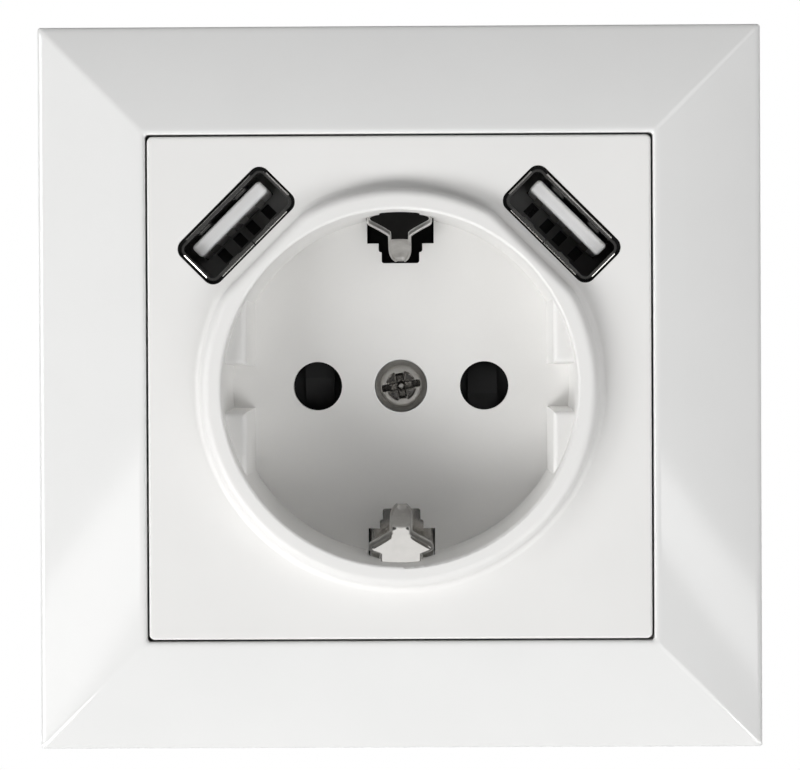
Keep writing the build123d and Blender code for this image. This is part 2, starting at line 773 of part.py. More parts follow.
# Support ring with lugs for the claws
with BuildPart() as support_ring:
    with BuildSketch(at(0)) as ring_plan:
        RectangleRounded(ring_w, ring_w, 6.0)
        Circle(ring_open_r, mode=Mode.SUBTRACT)
        with Locations((0, leg_z), (0, -leg_z)):
            Rectangle(leg_w + 1.4, 3.2, mode=Mode.SUBTRACT)
        with Locations((claw_screw_x, 0), (-claw_screw_x, 0), *post_pts):
            Circle(screw_d / 2 + 0.3, mode=Mode.SUBTRACT)
        with Locations((0, box_spacing / 2), (0, -box_spacing / 2)):
            SlotOverall(box_slot_l, box_slot_w, rotation=90, mode=Mode.SUBTRACT)
        with Locations(spare_hole, (-spare_hole[0], spare_hole[1])):
            Circle(spare_hole_r, mode=Mode.SUBTRACT)
        with Locations((claw_pivot_x - 0.8, 0), (0.8 - claw_pivot_x, 0)):
            Rectangle(2.0, 2 * lug_in, mode=Mode.SUBTRACT)
    extrude(amount=ring_t)
    for side in (-1, 1):
        with BuildSketch(port_plane(side, 0)):
            RectangleRounded(14.4, 8.6, 1.0)
        extrude(amount=ring_t, mode=Mode.SUBTRACT)
        with BuildSketch(Plane.XY):
            with Locations((side * claw_pivot_x, -claw_pivot_h / 2)):
                Rectangle(3.0, -claw_pivot_h)
            with Locations((side * claw_pivot_x, -claw_pivot_h)):
                Circle(1.5)
                Circle(claw_pin_r, mode=Mode.SUBTRACT)
        extrude(amount=lug_in + 1.0, both=True)
    with BuildSketch(at(0)):
        with Locations((claw_pivot_x, 0), (-claw_pivot_x, 0)):
            Rectangle(3.4, 2 * lug_in)
    extrude(amount=-6, mode=Mode.SUBTRACT)
support_ring.part.label = "support_ring"
export_step(support_ring.part, "parts/support_ring.step")

# Screws that hold the ring to the base
with BuildPart() as ring_screws:
    with BuildSketch(at(ring_t)):
        with Locations(*post_pts):
            Circle(small_head_r)
    extrude(amount=ring_head_t)
    with BuildSketch(at(ring_t)):
        with Locations(*post_pts):
            Circle(small_screw_r)
    extrude(amount=-small_screw_l - ring_t + 0.5)
    with BuildSketch(at(ring_t + ring_head_t)):
        with Locations(*post_pts):
            Rectangle(drive_l, drive_w)
            Rectangle(drive_w, drive_l)
    extrude(amount=-0.55 * ring_head_t, mode=Mode.SUBTRACT)
ring_screws.part.label = "ring_screws"
export_step(ring_screws.part, "parts/ring_screws.step")

# Claw hinge pins
with BuildPart() as claw_pins:
    with BuildSketch(Plane.XY.offset(-lug_in - 1.0)):
        with Locations((claw_pivot_x, -claw_pivot_h), (-claw_pivot_x, -claw_pivot_h)):
            Circle(claw_pin_r)
    extrude(amount=2 * lug_in + 2.0)
claw_pins.part.label = "claw_pins"
export_step(claw_pins.part, "parts/claw_pins.step")

# Claws, their screws and nuts
for side, name in ((-1, "left"), (1, "right")):
    pivot = (side * claw_pivot_x, -claw_pivot_h)
    with BuildPart() as claw:
        with BuildSketch(Plane.XY):
            with Locations(pivot):
                Circle(1.55)
            with BuildLine():
                Polyline(
                    pivot, (side * (claw_back_x - 0.4), pivot[1]), (side * claw_back_x, pivot[1] + 0.4),
                    (side * (claw_back_x - 0.9), claw_len - 3.7), (side * (claw_back_x + 0.2), claw_len - 0.4),
                    (side * (claw_back_x - 0.8), claw_len), (side * (claw_back_x - 2.1), claw_len - 3.6),
                    (side * (claw_back_x - claw_t), pivot[1] + claw_t), (side * claw_pivot_x, pivot[1] + claw_t),
                    close=True,
                )
            make_face()
            with Locations(pivot):
                Circle(claw_pin_r + claw_run, mode=Mode.SUBTRACT)
        extrude(amount=claw_w / 2, both=True)
        slot_in = claw_screw_x - screw_d / 2 - 2 * claw_gap
        slot_out = claw_back_x - claw_t - 0.1
        with BuildSketch(at(-1.0)):
            with Locations((side * (slot_in + slot_out) / 2, 0)):
                Rectangle(slot_out - slot_in, screw_d + 2 * claw_gap)
        extrude(amount=claw_pivot_h - claw_t + 0.5, mode=Mode.SUBTRACT)
        with BuildSketch(Plane.YZ.offset(side * (claw_back_x - 4))):
            with Locations((claw_len + 0.4, 0)):
                Rectangle(2.6, 2.6, rotation=45)
        extrude(amount=side * 6, mode=Mode.SUBTRACT)
    claw.part.label = "claw_" + name
    export_step(claw.part, "parts/claw_" + name + ".step")

    nut_h = claw_pivot_h - claw_t - claw_gap
    with BuildPart() as claw_nut:
        with BuildSketch(at(nut_h)):
            with Locations((side * claw_screw_x, 0)):
                Rectangle(nut_w, nut_l)
                Circle(screw_d / 2 + claw_run, mode=Mode.SUBTRACT)
        extrude(amount=-nut_t)
    claw_nut.part.label = "claw_nut_" + name
    export_step(claw_nut.part, "parts/claw_nut_" + name + ".step")

    with BuildPart() as claw_screw:
        with BuildSketch(at(ring_t + claw_run)):
            with Locations((side * claw_screw_x, 0)):
                Circle(claw_head_r)
        extrude(amount=claw_head_t)
        with BuildSketch(at(ring_t + claw_run)):
            with Locations((side * claw_screw_x, 0)):
                Circle(screw_d / 2)
        extrude(amount=-claw_screw_l)
        with BuildSketch(at(ring_t + claw_run + claw_head_t)):
            with Locations((side * claw_screw_x, 0)):
                Rectangle(1.63 * claw_head_r, 0.7)
                Rectangle(0.7, 1.14 * claw_head_r)
        extrude(amount=-0.56 * claw_head_t, mode=Mode.SUBTRACT)
    claw_screw.part.label = "claw_screw_" + name
    export_step(claw_screw.part, "parts/claw_screw_" + name + ".step")

# Charging ports
for side, name in ((-1, "left"), (1, "right")):
    lip_h = port_front_h - lip_len
    with BuildPart() as shell:
        with BuildSketch(port_plane(side, port_back_h)):
            RectangleRounded(outer_w, outer_h, 0.9)
        extrude(amount=lip_h - port_back_h)
        with BuildSketch(port_plane(side, lip_h)):
            RectangleRounded(outer_w, outer_h, 0.9)
        extrude(amount=lip_len, taper=-lip_taper)
        with BuildSketch(port_plane(side, port_back_h)):
            RectangleRounded(port_w, port_h, 0.6)
        extrude(amount=lip_h - port_back_h, mode=Mode.SUBTRACT)
        with BuildSketch(port_plane(side, lip_h)):
            RectangleRounded(port_w, port_h, 0.6)
        extrude(amount=lip_len, taper=-lip_taper, mode=Mode.SUBTRACT)
        with BuildSketch(port_plane(side, lip_h)):
            with GridLocations(lip_long + 6, lip_short + 6, 2, 2):
                Rectangle(6, 6)
        extrude(amount=2, mode=Mode.SUBTRACT)
        with BuildSketch(port_plane(side, port_front_h - port_sheet)):
            flange_v = port_slot_h / 2 - lip_flange_gap
            with Locations((0, -(flange_v + port_h / 2) / 2)):
                Rectangle(lip_long, flange_v - port_h / 2)
        extrude(amount=port_sheet)
        with BuildSketch(port_plane(side, port_back_h)):
            with Locations((0, -port_h / 2)):
                Rectangle(0.14, 1.4)
        extrude(amount=20, mode=Mode.SUBTRACT)
        for wall in (-1, 1):
            with BuildSketch(Plane(port_plane(side, 4.0).origin, x_dir=(diag, 0, -side * diag), z_dir=(side * diag, 0, diag))):
                with Locations((2.75, 0), (-2.75, 0)):
                    Rectangle(2.0, 6.0)
            extrude(amount=wall * 4, mode=Mode.SUBTRACT)
            for u in (-2.75, 2.75):
                root = wall * (port_h / 2 + port_sheet)
                tip = wall * (port_h / 2 - 0.28)
                with BuildSketch(port_section(side, u)):
                    with BuildLine():
                        Polyline(
                            (root, 0.5), (root, 1.0), (tip + wall * port_sheet, 6.2), (tip, 6.2),
                            (root - wall * port_sheet, 1.0), (root - wall * port_sheet, 0.5), close=True,
                        )
                    make_face()
                extrude(amount=0.75, both=True)
        with BuildSketch(port_plane(side, port_back_h)):
            with Locations((outer_w / 2 - port_sheet / 2, 0), (port_sheet / 2 - outer_w / 2, 0)):
                Rectangle(port_sheet, 1.8)
        extrude(amount=-board_t - 0.8)
    shell.part.label = "port_shell_" + name
    export_step(shell.part, "parts/port_shell_" + name + ".step")

    with BuildPart() as spacer:
        with BuildSketch(port_plane(side, port_back_h)):
            RectangleRounded(port_w, port_h, 0.6)
            with Locations((0, tongue_off)):
                Rectangle(tongue_w, tongue_t, mode=Mode.SUBTRACT)
            with Locations(*[(u, window_v) for u in contact_us]):
                Rectangle(window_w, window_h, mode=Mode.SUBTRACT)
        extrude(amount=spacer_t)
    spacer.part.label = "port_spacer_" + name
    export_step(spacer.part, "parts/port_spacer_" + name + ".step")

    groove = contact_t + 0.05
    with BuildPart() as tongue:
        with BuildSketch(port_plane(side, port_back_h)):
            with Locations((0, tongue_off)):
                Rectangle(tongue_w, tongue_t)
        extrude(amount=port_front_h - tongue_inset - port_back_h)
        chamfer(tongue.faces().sort_by(Axis.Y)[0].edges(), length=tongue_edge)
        with BuildSketch(port_plane(side, port_back_h)):
            with Locations(*[(u, tongue_off - tongue_t / 2 + groove / 2) for u in contact_us]):
                Rectangle(contact_w + 0.2, groove)
        extrude(amount=10.6, mode=Mode.SUBTRACT)
    tongue.part.label = "port_tongue_" + name
    export_step(tongue.part, "parts/port_tongue_" + name + ".step")

    line_v = tongue_off - tongue_t / 2 + groove - contact_t / 2
    with BuildPart() as springs:
        for u in contact_us:
            with BuildSketch(port_section(side, u)):
                with BuildLine():
                    Polyline((line_v, -6.9), (line_v, 0.6), (line_v - 0.5, 3.2), (line_v, 5.6))
                trace(line_width=contact_t)
            extrude(amount=contact_w / 2, both=True)
    springs.part.label = "port_contacts_" + name
    export_step(springs.part, "parts/port_contacts_" + name + ".step")

# Port board: a crescent round the well
with BuildPart() as port_board:
    with BuildSketch(at(shelf_h)):
        Circle(port_board_r)
        Circle(tube_r + 0.6, mode=Mode.SUBTRACT)
        edge = (span * cos(radians(26)), span * sin(radians(26)))
        Polygon((0, 0), edge, (0, span), (-edge[0], edge[1]), align=None, mode=Mode.INTERSECT)
        with Locations((0, leg_z - 0.4)):
            Rectangle(leg_w + 1.0, 2.8, mode=Mode.SUBTRACT)
        with Locations(*post_pts[:2]):
            Circle(post_r + 0.1, mode=Mode.SUBTRACT)
        with Locations((0, link_z)):
            with GridLocations(link_pitch, 1, 4, 1):
                Rectangle(link_pin, link_pin, mode=Mode.SUBTRACT)
    extrude(amount=board_t)
    for side in (-1, 1):
        with BuildSketch(port_plane(side, shelf_h)):
            with Locations(*[(u, line_v) for u in contact_us]):
                Rectangle(contact_w + 0.1, contact_t + 0.1)
            with Locations((outer_w / 2 - port_sheet / 2, 0), (port_sheet / 2 - outer_w / 2, 0)):
                Rectangle(port_sheet + 0.2, 2.0)
        extrude(amount=board_t, mode=Mode.SUBTRACT)
port_board.part.label = "port_board"
export_step(port_board.part, "parts/port_board.step")

# Main board
with BuildPart() as main_board:
    with BuildSketch(at(main_board_h)):
        Circle(base_r - base_wall - 0.3)
        Rectangle(2 * (base_flat - base_wall - 0.3), span, mode=Mode.INTERSECT)
        with Locations((0, main_board_low)):
            Rectangle(span, span, align=(Align.CENTER, Align.MAX), mode=Mode.SUBTRACT)
        with Locations(*housing_pts[2:]):
            Circle(boss_screw_r + 0.3, mode=Mode.SUBTRACT)
            Rectangle(8, 2 * boss_screw_r + 0.6, align=(Align.CENTER, Align.CENTER), mode=Mode.SUBTRACT)
        with Locations((pin_x, 0), (-pin_x, 0)):
            Rectangle(2.0, blade_t + 0.2, mode=Mode.SUBTRACT)
        with Locations((0, link_z)):
            with GridLocations(link_pitch, 1, 4, 1):
                Rectangle(link_pin, link_pin, mode=Mode.SUBTRACT)
    extrude(amount=-board_t)
main_board.part.label = "main_board"
export_step(main_board.part, "parts/main_board.step")

# Pins between the two boards
with BuildPart() as link_pins:
    with BuildSketch(at(port_board_h + 0.6)):
        with Locations((0, link_z)):
            with GridLocations(link_pitch, 1, 4, 1):
                Rectangle(link_pin, link_pin)
    extrude(amount=main_board_h - board_t - 0.6 - port_board_h - 0.6)
link_pins.part.label = "link_pins"
export_step(link_pins.part, "parts/link_pins.step")

# Electronics on the main board
with BuildPart() as transformer_core:
    with BuildSketch(Plane.XY.offset(core_z)):
        with Locations((0, -main_board_h - core_d / 2)):
            Rectangle(core_w, core_d)
            with GridLocations(core_w / 2, 1, 2, 1):
                Rectangle(core_window_w, core_window_d, mode=Mode.SUBTRACT)
    extrude(amount=core_t)
transformer_core.part.label = "transformer_core"
export_step(transformer_core.part, "parts/transformer_core.step")

with BuildPart() as transformer_coil:
    with BuildSketch(at(main_board_h + (core_d - coil_t) / 2)):
        with Locations((0, core_z + core_t / 2)):
            RectangleRounded(coil_w, coil_l, coil_round)
            Rectangle(core_w / 2 - core_window_w, core_t, mode=Mode.SUBTRACT)
    extrude(amount=coil_t)
transformer_coil.part.label = "transformer_coil"
export_step(transformer_coil.part, "parts/transformer_coil.step")

for name, (radius, tall, angle) in (("input_capacitor", input_can), ("output_capacitor", output_can)):
    can_r = base_r - base_wall - can_gap - radius
    with BuildPart() as capacitor:
        with BuildSketch(at(main_board_h)):
            with Locations((can_r * cos(radians(angle)), can_r * sin(radians(angle)))):
                Circle(radius)
        extrude(amount=tall)
        fillet(capacitor.edges().sort_by(Axis.Y)[0], radius=0.5)
    capacitor.part.label = name
    export_step(capacitor.part, "parts/" + name + ".step")

with BuildPart() as bridge_rectifier:
    with BuildSketch(at(main_board_h)):
        with Locations(bridge_spot):
            Rectangle(bridge_w, bridge_l)
    extrude(amount=bridge_t)
    chamfer(bridge_rectifier.faces().sort_by(Axis.Y)[0].edges(), length=0.3)
bridge_rectifier.part.label = "bridge_rectifier"
export_step(bridge_rectifier.part, "parts/bridge_rectifier.step")

with BuildPart() as fuse_resistor:
    with BuildSketch(Plane.YZ.offset(-fuse_l / 2)):
        with Locations((-main_board_h - fuse_r - 0.1, fuse_z)):
            Circle(fuse_r)
    extrude(amount=fuse_l)
    for lead_x in (-0.75 * fuse_l / 2, 0.75 * fuse_l / 2 - lead_t):
        with BuildSketch(Plane.YZ.offset(lead_x)):
            with Locations((-main_board_h, fuse_z)):
                Rectangle(fuse_r + 0.5, lead_t, align=(Align.MAX, Align.CENTER))
        extrude(amount=lead_t)
fuse_resistor.part.label = "fuse_resistor"
export_step(fuse_resistor.part, "parts/fuse_resistor.step")
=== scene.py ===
"""Looks of a usb wall socket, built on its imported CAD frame.

The pieces' classes hold sizes in millimetres, and the meshes are written in metres. X runs to the right,
Z up and Y into the wall. Heights are measured from the wall plane and are positive towards the room, so
a height h lies at Y = -h.
"""

import logging
import math
from dataclasses import dataclass
from enum import Enum, IntEnum

import bmesh
import bpy
import numpy as np
from mathutils import Matrix, Vector


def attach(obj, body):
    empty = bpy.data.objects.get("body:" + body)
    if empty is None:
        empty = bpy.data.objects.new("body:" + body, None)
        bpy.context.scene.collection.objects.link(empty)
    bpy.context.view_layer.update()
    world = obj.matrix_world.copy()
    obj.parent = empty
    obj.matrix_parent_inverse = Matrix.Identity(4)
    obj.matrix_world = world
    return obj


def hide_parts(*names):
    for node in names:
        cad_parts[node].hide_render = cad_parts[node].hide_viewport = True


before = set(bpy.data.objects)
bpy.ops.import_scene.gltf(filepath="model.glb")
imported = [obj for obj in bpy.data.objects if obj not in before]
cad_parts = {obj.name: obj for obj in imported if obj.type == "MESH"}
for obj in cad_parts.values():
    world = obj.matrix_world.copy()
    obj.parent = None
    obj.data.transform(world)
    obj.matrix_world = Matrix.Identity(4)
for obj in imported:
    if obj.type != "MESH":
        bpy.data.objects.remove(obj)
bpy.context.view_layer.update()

LOG = logging.getLogger("usb_wall_socket")
MM = 0.001
PICTURE = (800, 770)
# Points of a corner's arc and of a bend, and the distance in metres below which vertices merge
ARC_POINTS = 9
BEND_POINTS = 12
MERGE = 1e-7
Array = np.ndarray
Pair = tuple[float, float]
Triple = tuple[float, float, float]
Colour = tuple[float, ...]
Socket = bpy.types.NodeSocket


class Side(Enum):
    """Left or right half of the socket, seen from the room, as the sign of X."""

    LEFT = -1
    RIGHT = 1

    @property
    def word(self) -> str:
        """The side's name as the CAD nodes spell it."""
        return self.name.lower()


class StrapZone(IntEnum):
    """Zones of the earth strap, in the order of its material slots."""

    NICKEL = 0
    FINGER = 1
    # Near-black nickel on the upper clip's bar and ramp: painted shade and painted dark reflection.
    DULL = 2
    FLANGE = 3


class ScrewZone(IntEnum):
    """Zones of the cover screw, in the order of its material slots."""

    BARE = 0
    # The lobes and the cuts of cross and slot wear darker zinc than the bare head: painted shade in the
    # recess.
    LOBE = 1
    CUT = 2


@dataclass(frozen=True)
class Grid:
    """A surface as a grid of points, with the ways in which it closes and the slot of each quad."""

    points: Array
    wrap_rows: bool = False
    wrap_cols: bool = False
    finish: Array | None = None

    def faces(self, first: int) -> Array:
        """Lists the quads between neighbouring grid points.

        Args:
            first: index of the grid's first vertex in the mesh.

        Returns:
            Quads as an array of four vertex indices each.
        """
        rows, cols = self.points.shape[:2]
        row = np.arange(rows if self.wrap_rows else rows - 1)
        col = np.arange(cols if self.wrap_cols else cols - 1)
        i, j = np.meshgrid(row, col, indexing="ij")
        i2, j2 = (i + 1) % rows, (j + 1) % cols
        quads = np.stack([i * cols + j, i2 * cols + j, i2 * cols + j2, i * cols + j2], axis=-1)
        return quads.reshape(-1, 4) + first

    def slots(self) -> Array:
        """Material slot of each quad, 0 all over where no finish is given."""
        count = len(self.faces(0))
        finish = np.zeros(count) if self.finish is None else self.finish.ravel()
        return finish.astype(np.int32)


def smooth(value: Array, low: float, high: float) -> Array:
    """Cubic step from 0 at low to 1 at high.

    Args:
        value: numbers to map.
        low: where the step starts.
        high: where the step ends.

    Returns:
        Numbers from 0 to 1.
    """
    t = np.clip((value - low) / (high - low), 0.0, 1.0)
    return t * t * (3.0 - 2.0 * t)


def bend(start: Array | Pair, knee: Array, end: Array | Pair, samples: int) -> Array:
    """Quadratic curve that leaves start towards the knee and arrives at end from it.

    Args:
        start: first point.
        knee: the corner that the curve rounds.
        end: last point.
        samples: number of points.

    Returns:
        Points along the curve.
    """
    t = np.linspace(0.0, 1.0, samples)[:, None]
    return (1 - t) ** 2 * np.asarray(start) + 2 * t * (1 - t) * np.asarray(knee) + t**2 * np.asarray(end)


def rounded_path(corners: list[Pair], radii: tuple[float, ...], step: float) -> Array:
    """Follows straight runs between corners and rounds each inner corner with an arc.

    The arc leaves its corner by radius x tan(half the turn) on both sides, so it meets the runs smoothly.

    Args:
        corners: points of the path in a plane.
        radii: radius at each inner corner.
        step: distance between points on the straight runs.

    Returns:
        Points along the path.
    """
    nodes = np.asarray(corners, dtype=float)
    legs = np.diff(nodes, axis=0)
    ways = legs / np.linalg.norm(legs, axis=1)[:, None]
    parts = []
    start = nodes[0]
    for i, radius in enumerate(radii):
        before, after = ways[i], ways[i + 1]
        turn = math.atan2(before[0] * after[1] - before[1] * after[0], float(before @ after))
        reach = radius * math.tan(abs(turn) / 2)
        arc_start = nodes[i + 1] - before * reach
        side = np.array([-before[1], before[0]]) * math.copysign(1.0, turn)
        sweep = np.linspace(0.0, abs(turn), BEND_POINTS)[:, None]
        arc = arc_start + radius * (np.sin(sweep) * before + (1 - np.cos(sweep)) * side)
        count = max(2, int(np.linalg.norm(arc_start - start) / step))
        parts += [start + (arc_start - start) * np.linspace(0, 1, count, endpoint=False)[:, None], arc[:-1]]
        start = arc[-1]
    count = max(2, int(np.linalg.norm(nodes[-1] - start) / step))
    parts.append(start + (nodes[-1] - start) * np.linspace(0, 1, count)[:, None])
    return np.concatenate(parts)


def four_corners(turn: Array) -> tuple[Array, Array, Array]:
    """Repeats the turn at one corner of a loop, a quarter circle further at each of the four corners.

    Args:
        turn: angles of the points at the first corner.

    Returns:
        Angles of all points, and the signs of their corners' two coordinates.
    """
    angle = (np.arange(4)[:, None] * math.pi / 2 + turn).ravel()
    return angle, np.repeat([1, -1, -1, 1], turn.size), np.repeat([1, 1, -1, -1], turn.size)


def rounded_loop(half_u: float, half_v: float, radius: float) -> Array:
    """Closed loop round a rectangle, with an arc at each corner.

    Args:
        half_u: half of the rectangle's length.
        half_v: half of its height.
        radius: radius of its corners.

    Returns:
        Points in the rectangle's plane.
    """
    angle, sign_u, sign_v = four_corners(np.linspace(0.0, math.pi / 2, ARC_POINTS))
    u = sign_u * (half_u - radius) + radius * np.cos(angle)
    v = sign_v * (half_v - radius) + radius * np.sin(angle)
    return np.column_stack([u, v])


def make_piece(
    name: str, grids: list[Grid], sharp_deg: float = 32.0, closed: bool = True
) -> bpy.types.Object:
    """Joins grids into one mesh object with outward faces.

    Args:
        name: name of the object and its mesh.
        grids: surfaces in millimetres that make up the piece.
        sharp_deg: edges with a larger angle stay crisp.
        closed: whether the grids close into a skin, whose faces are then turned outward.

    Returns:
        The new object, at the origin.
    """
    counts = np.cumsum([0] + [g.points.shape[0] * g.points.shape[1] for g in grids])
    verts = np.concatenate([g.points.reshape(-1, 3) for g in grids]) * MM
    faces = np.concatenate([g.faces(int(first)) for g, first in zip(grids, counts)])
    mesh = bpy.data.meshes.new(name)
    mesh.from_pydata(verts.tolist(), [], faces.tolist())
    mesh.polygons.foreach_set("material_index", np.concatenate([g.slots() for g in grids]))
    work = bmesh.new()
    work.from_mesh(mesh)
    bmesh.ops.remove_doubles(work, verts=work.verts, dist=MERGE)
    if closed:
        bmesh.ops.recalc_face_normals(work, faces=work.faces)
    work.to_mesh(mesh)
    work.free()
    mesh.polygons.foreach_set("use_smooth", np.ones(len(mesh.polygons), dtype=bool))
    mesh.set_sharp_from_angle(angle=math.radians(sharp_deg))
    piece = bpy.data.objects.new(name, mesh)
    bpy.context.scene.collection.objects.link(piece)
    return piece


class NodeSheet:
    """A material's node tree with short calls for the nodes that the finishes share."""

    noise_low: float = 0.3
    noise_high: float = 0.7

    def __init__(self, name: str) -> None:
        """Starts an empty material with a principled surface and object coordinates.

        Args:
            name: name of the material.
        """
        self.material = bpy.data.materials.new(name)
        self.material.use_nodes = True
        self.tree = self.material.node_tree
        self.tree.nodes.clear()
        self.out = self.add("ShaderNodeOutputMaterial")
        self.surface = self.add("ShaderNodeBsdfPrincipled")
        self.join(self.surface.outputs["BSDF"], self.out.inputs["Surface"])
        self.coords = self.add("ShaderNodeTexCoord")

    def add(self, kind: str, values: dict[str, float | Colour] | None = None) -> bpy.types.Node:
        """Adds a node.

        Args:
            kind: Blender's name for this kind of node.
            values: numbers and colours for its sockets.

        Returns:
            The node.
        """
        node = self.tree.nodes.new(kind)
        for socket, value in (values or {}).items():
            node.inputs[socket].default_value = value
        return node

    def join(self, source: Socket, target: Socket) -> None:
        """Links an output socket to an input socket."""
        self.tree.links.new(source, target)

    def noise(self, scale: float, detail: float, stretch: Triple = (1, 1, 1)) -> Socket:
        """Adds noise on object coordinates.

        Args:
            scale: noise cells per metre.
            detail: octaves of finer noise.
            stretch: factor on each axis, for drawn or brushed grain.

        Returns:
            The output socket with the noise height.
        """
        mapping = self.add("ShaderNodeMapping", {"Scale": stretch})
        self.join(self.coords.outputs["Object"], mapping.inputs["Vector"])
        node = self.add("ShaderNodeTexNoise", {"Scale": scale, "Detail": detail})
        self.join(mapping.outputs["Vector"], node.inputs["Vector"])
        return node.outputs["Fac"]

    def larger(self, one: Socket, other: Socket) -> Socket:
        """Picks the larger of two numbers.

        Args:
            one: socket with the one number.
            other: socket with the other number.

        Returns:
            The output socket with the larger number.
        """
        node = self.add("ShaderNodeMath")
        node.operation = "MAXIMUM"
        self.join(one, node.inputs[0])
        self.join(other, node.inputs[1])
        return node.outputs["Value"]

    def roughen(self, source: Socket, low: float, high: float) -> None:
        """Spreads the surface's roughness over a range.

        Args:
            source: socket with the noise.
            low: roughness where the noise is low.
            high: roughness where the noise is high.
        """
        node = self.add("ShaderNodeMapRange", {
            "From Min": self.noise_low, "From Max": self.noise_high, "To Min": low, "To Max": high,
        })
        self.join(source, node.inputs["Value"])
        self.join(node.outputs["Result"], self.surface.inputs["Roughness"])

    def tint(self, source: Socket, dark: Colour, light: Colour) -> None:
        """Colours the surface between two tones of one finish.

        Args:
            source: socket with the noise.
            dark: colour where the noise is low.
            light: colour where the noise is high.
        """
        node = self.add("ShaderNodeValToRGB")
        first, last = node.color_ramp.elements
        first.position, last.position = self.noise_low, self.noise_high
        first.color, last.color = (*dark, 1.0), (*light, 1.0)
        self.join(source, node.inputs["Fac"])
        self.join(node.outputs["Color"], self.surface.inputs["Base Color"])

    def bump(self, source: Socket, depth: float, strength: float) -> None:
        """Turns noise into surface relief.

        Args:
            source: socket with the noise.
            depth: depth of the relief in metres.
            strength: share of the relief that is shown.
        """
        node = self.add("ShaderNodeBump", {"Strength": strength, "Distance": depth})
        self.join(source, node.inputs["Height"])
        self.join(node.outputs["Normal"], self.surface.inputs["Normal"])


def shade(colour: Colour, factor: float) -> Colour:
    """A colour made darker or lighter by a factor, kept within 0 and 1."""
    return tuple(min(1.0, c * factor) for c in colour)


@dataclass(frozen=True)
class Finish:
    """A finish of the socket, with its colour and the range of its roughness."""

    name: str
    colour: Colour
    gloss: Pair

    def paint(self, sheet: NodeSheet) -> None:
        """Puts the nodes of this kind of finish on a sheet."""
        raise NotImplementedError

    def material(self) -> bpy.types.Material:
        """Builds the finish from its nodes."""
        sheet = NodeSheet(self.name)
        self.paint(sheet)
        return sheet.material


@dataclass(frozen=True)
class Moulding(Finish):
    """A moulded plastic: even colour with faint flow mottling and a fine tool grain."""

    flow: float = 70.0
    polish: float = 420.0
    grain: float = 9000.0
    relief: float = 0.000002
    strength: float = 0.12
    mottle: float = 0.012
    specular: float = 0.5
    ior: float = 1.5

    def paint(self, sheet: NodeSheet) -> None:
        """Mottles the colour, clouds the gloss and adds the tool's grain.

        Args:
            sheet: node sheet of the material.
        """
        flow = sheet.noise(self.flow, detail=3.0)
        sheet.tint(flow, shade(self.colour, 1 - self.mottle), shade(self.colour, 1 + self.mottle))
        sheet.roughen(sheet.noise(self.polish, detail=4.0), *self.gloss)
        sheet.bump(sheet.noise(self.grain, detail=2.0), self.relief, self.strength)
        sheet.surface.inputs["IOR"].default_value = self.ior
        sheet.surface.inputs["Specular IOR Level"].default_value = self.specular


@dataclass(frozen=True)
class PlatedMetal(Finish):
    """A plated or bare metal: drawn or rolled grain along one axis and cloudy polish."""

    stretch: Triple = (1.0, 1.0, 0.06)
    cloud: float = 900.0
    grain: float = 6000.0
    relief: float = 0.000004
    strength: float = 0.25
    mottle: float = 0.08

    def paint(self, sheet: NodeSheet) -> None:
        """Clouds the colour, and takes gloss and relief from the drawn grain.

        Args:
            sheet: node sheet of the material.
        """
        cloud = sheet.noise(self.cloud, detail=4.0)
        drawn = sheet.noise(self.grain, detail=3.0, stretch=self.stretch)
        sheet.tint(cloud, shade(self.colour, 1 - self.mottle), shade(self.colour, 1 + self.mottle))
        sheet.roughen(drawn, *self.gloss)
        sheet.bump(drawn, self.relief, self.strength)
        sheet.surface.inputs["Metallic"].default_value = 1.0


@dataclass(frozen=True)
class Laminate(Finish):
    """A lacquered glass-fibre board: woven base under a tinted, glossy coat."""

    gloss: Pair = (0.25, 0.4)
    weave: float = 1600.0
    warp: float = 0.88
    weft: float = 1.1
    polish: float = 500.0
    relief: float = 0.00002
    strength: float = 0.15

    def paint(self, sheet: NodeSheet) -> None:
        """Weaves the colour from a darker warp and a lighter weft, and clouds the gloss.

        Args:
            sheet: node sheet of the material.
        """
        warp, weft = (*shade(self.colour, self.warp), 1), (*shade(self.colour, self.weft), 1)
        weave = sheet.add("ShaderNodeTexChecker", {"Scale": self.weave, "Color1": warp, "Color2": weft})
        sheet.join(sheet.coords.outputs["Object"], weave.inputs["Vector"])
        sheet.join(weave.outputs["Color"], sheet.surface.inputs["Base Color"])
        sheet.roughen(sheet.noise(self.polish, detail=3.0), *self.gloss)
        sheet.bump(sheet.noise(self.weave, detail=2.0), self.relief, self.strength)


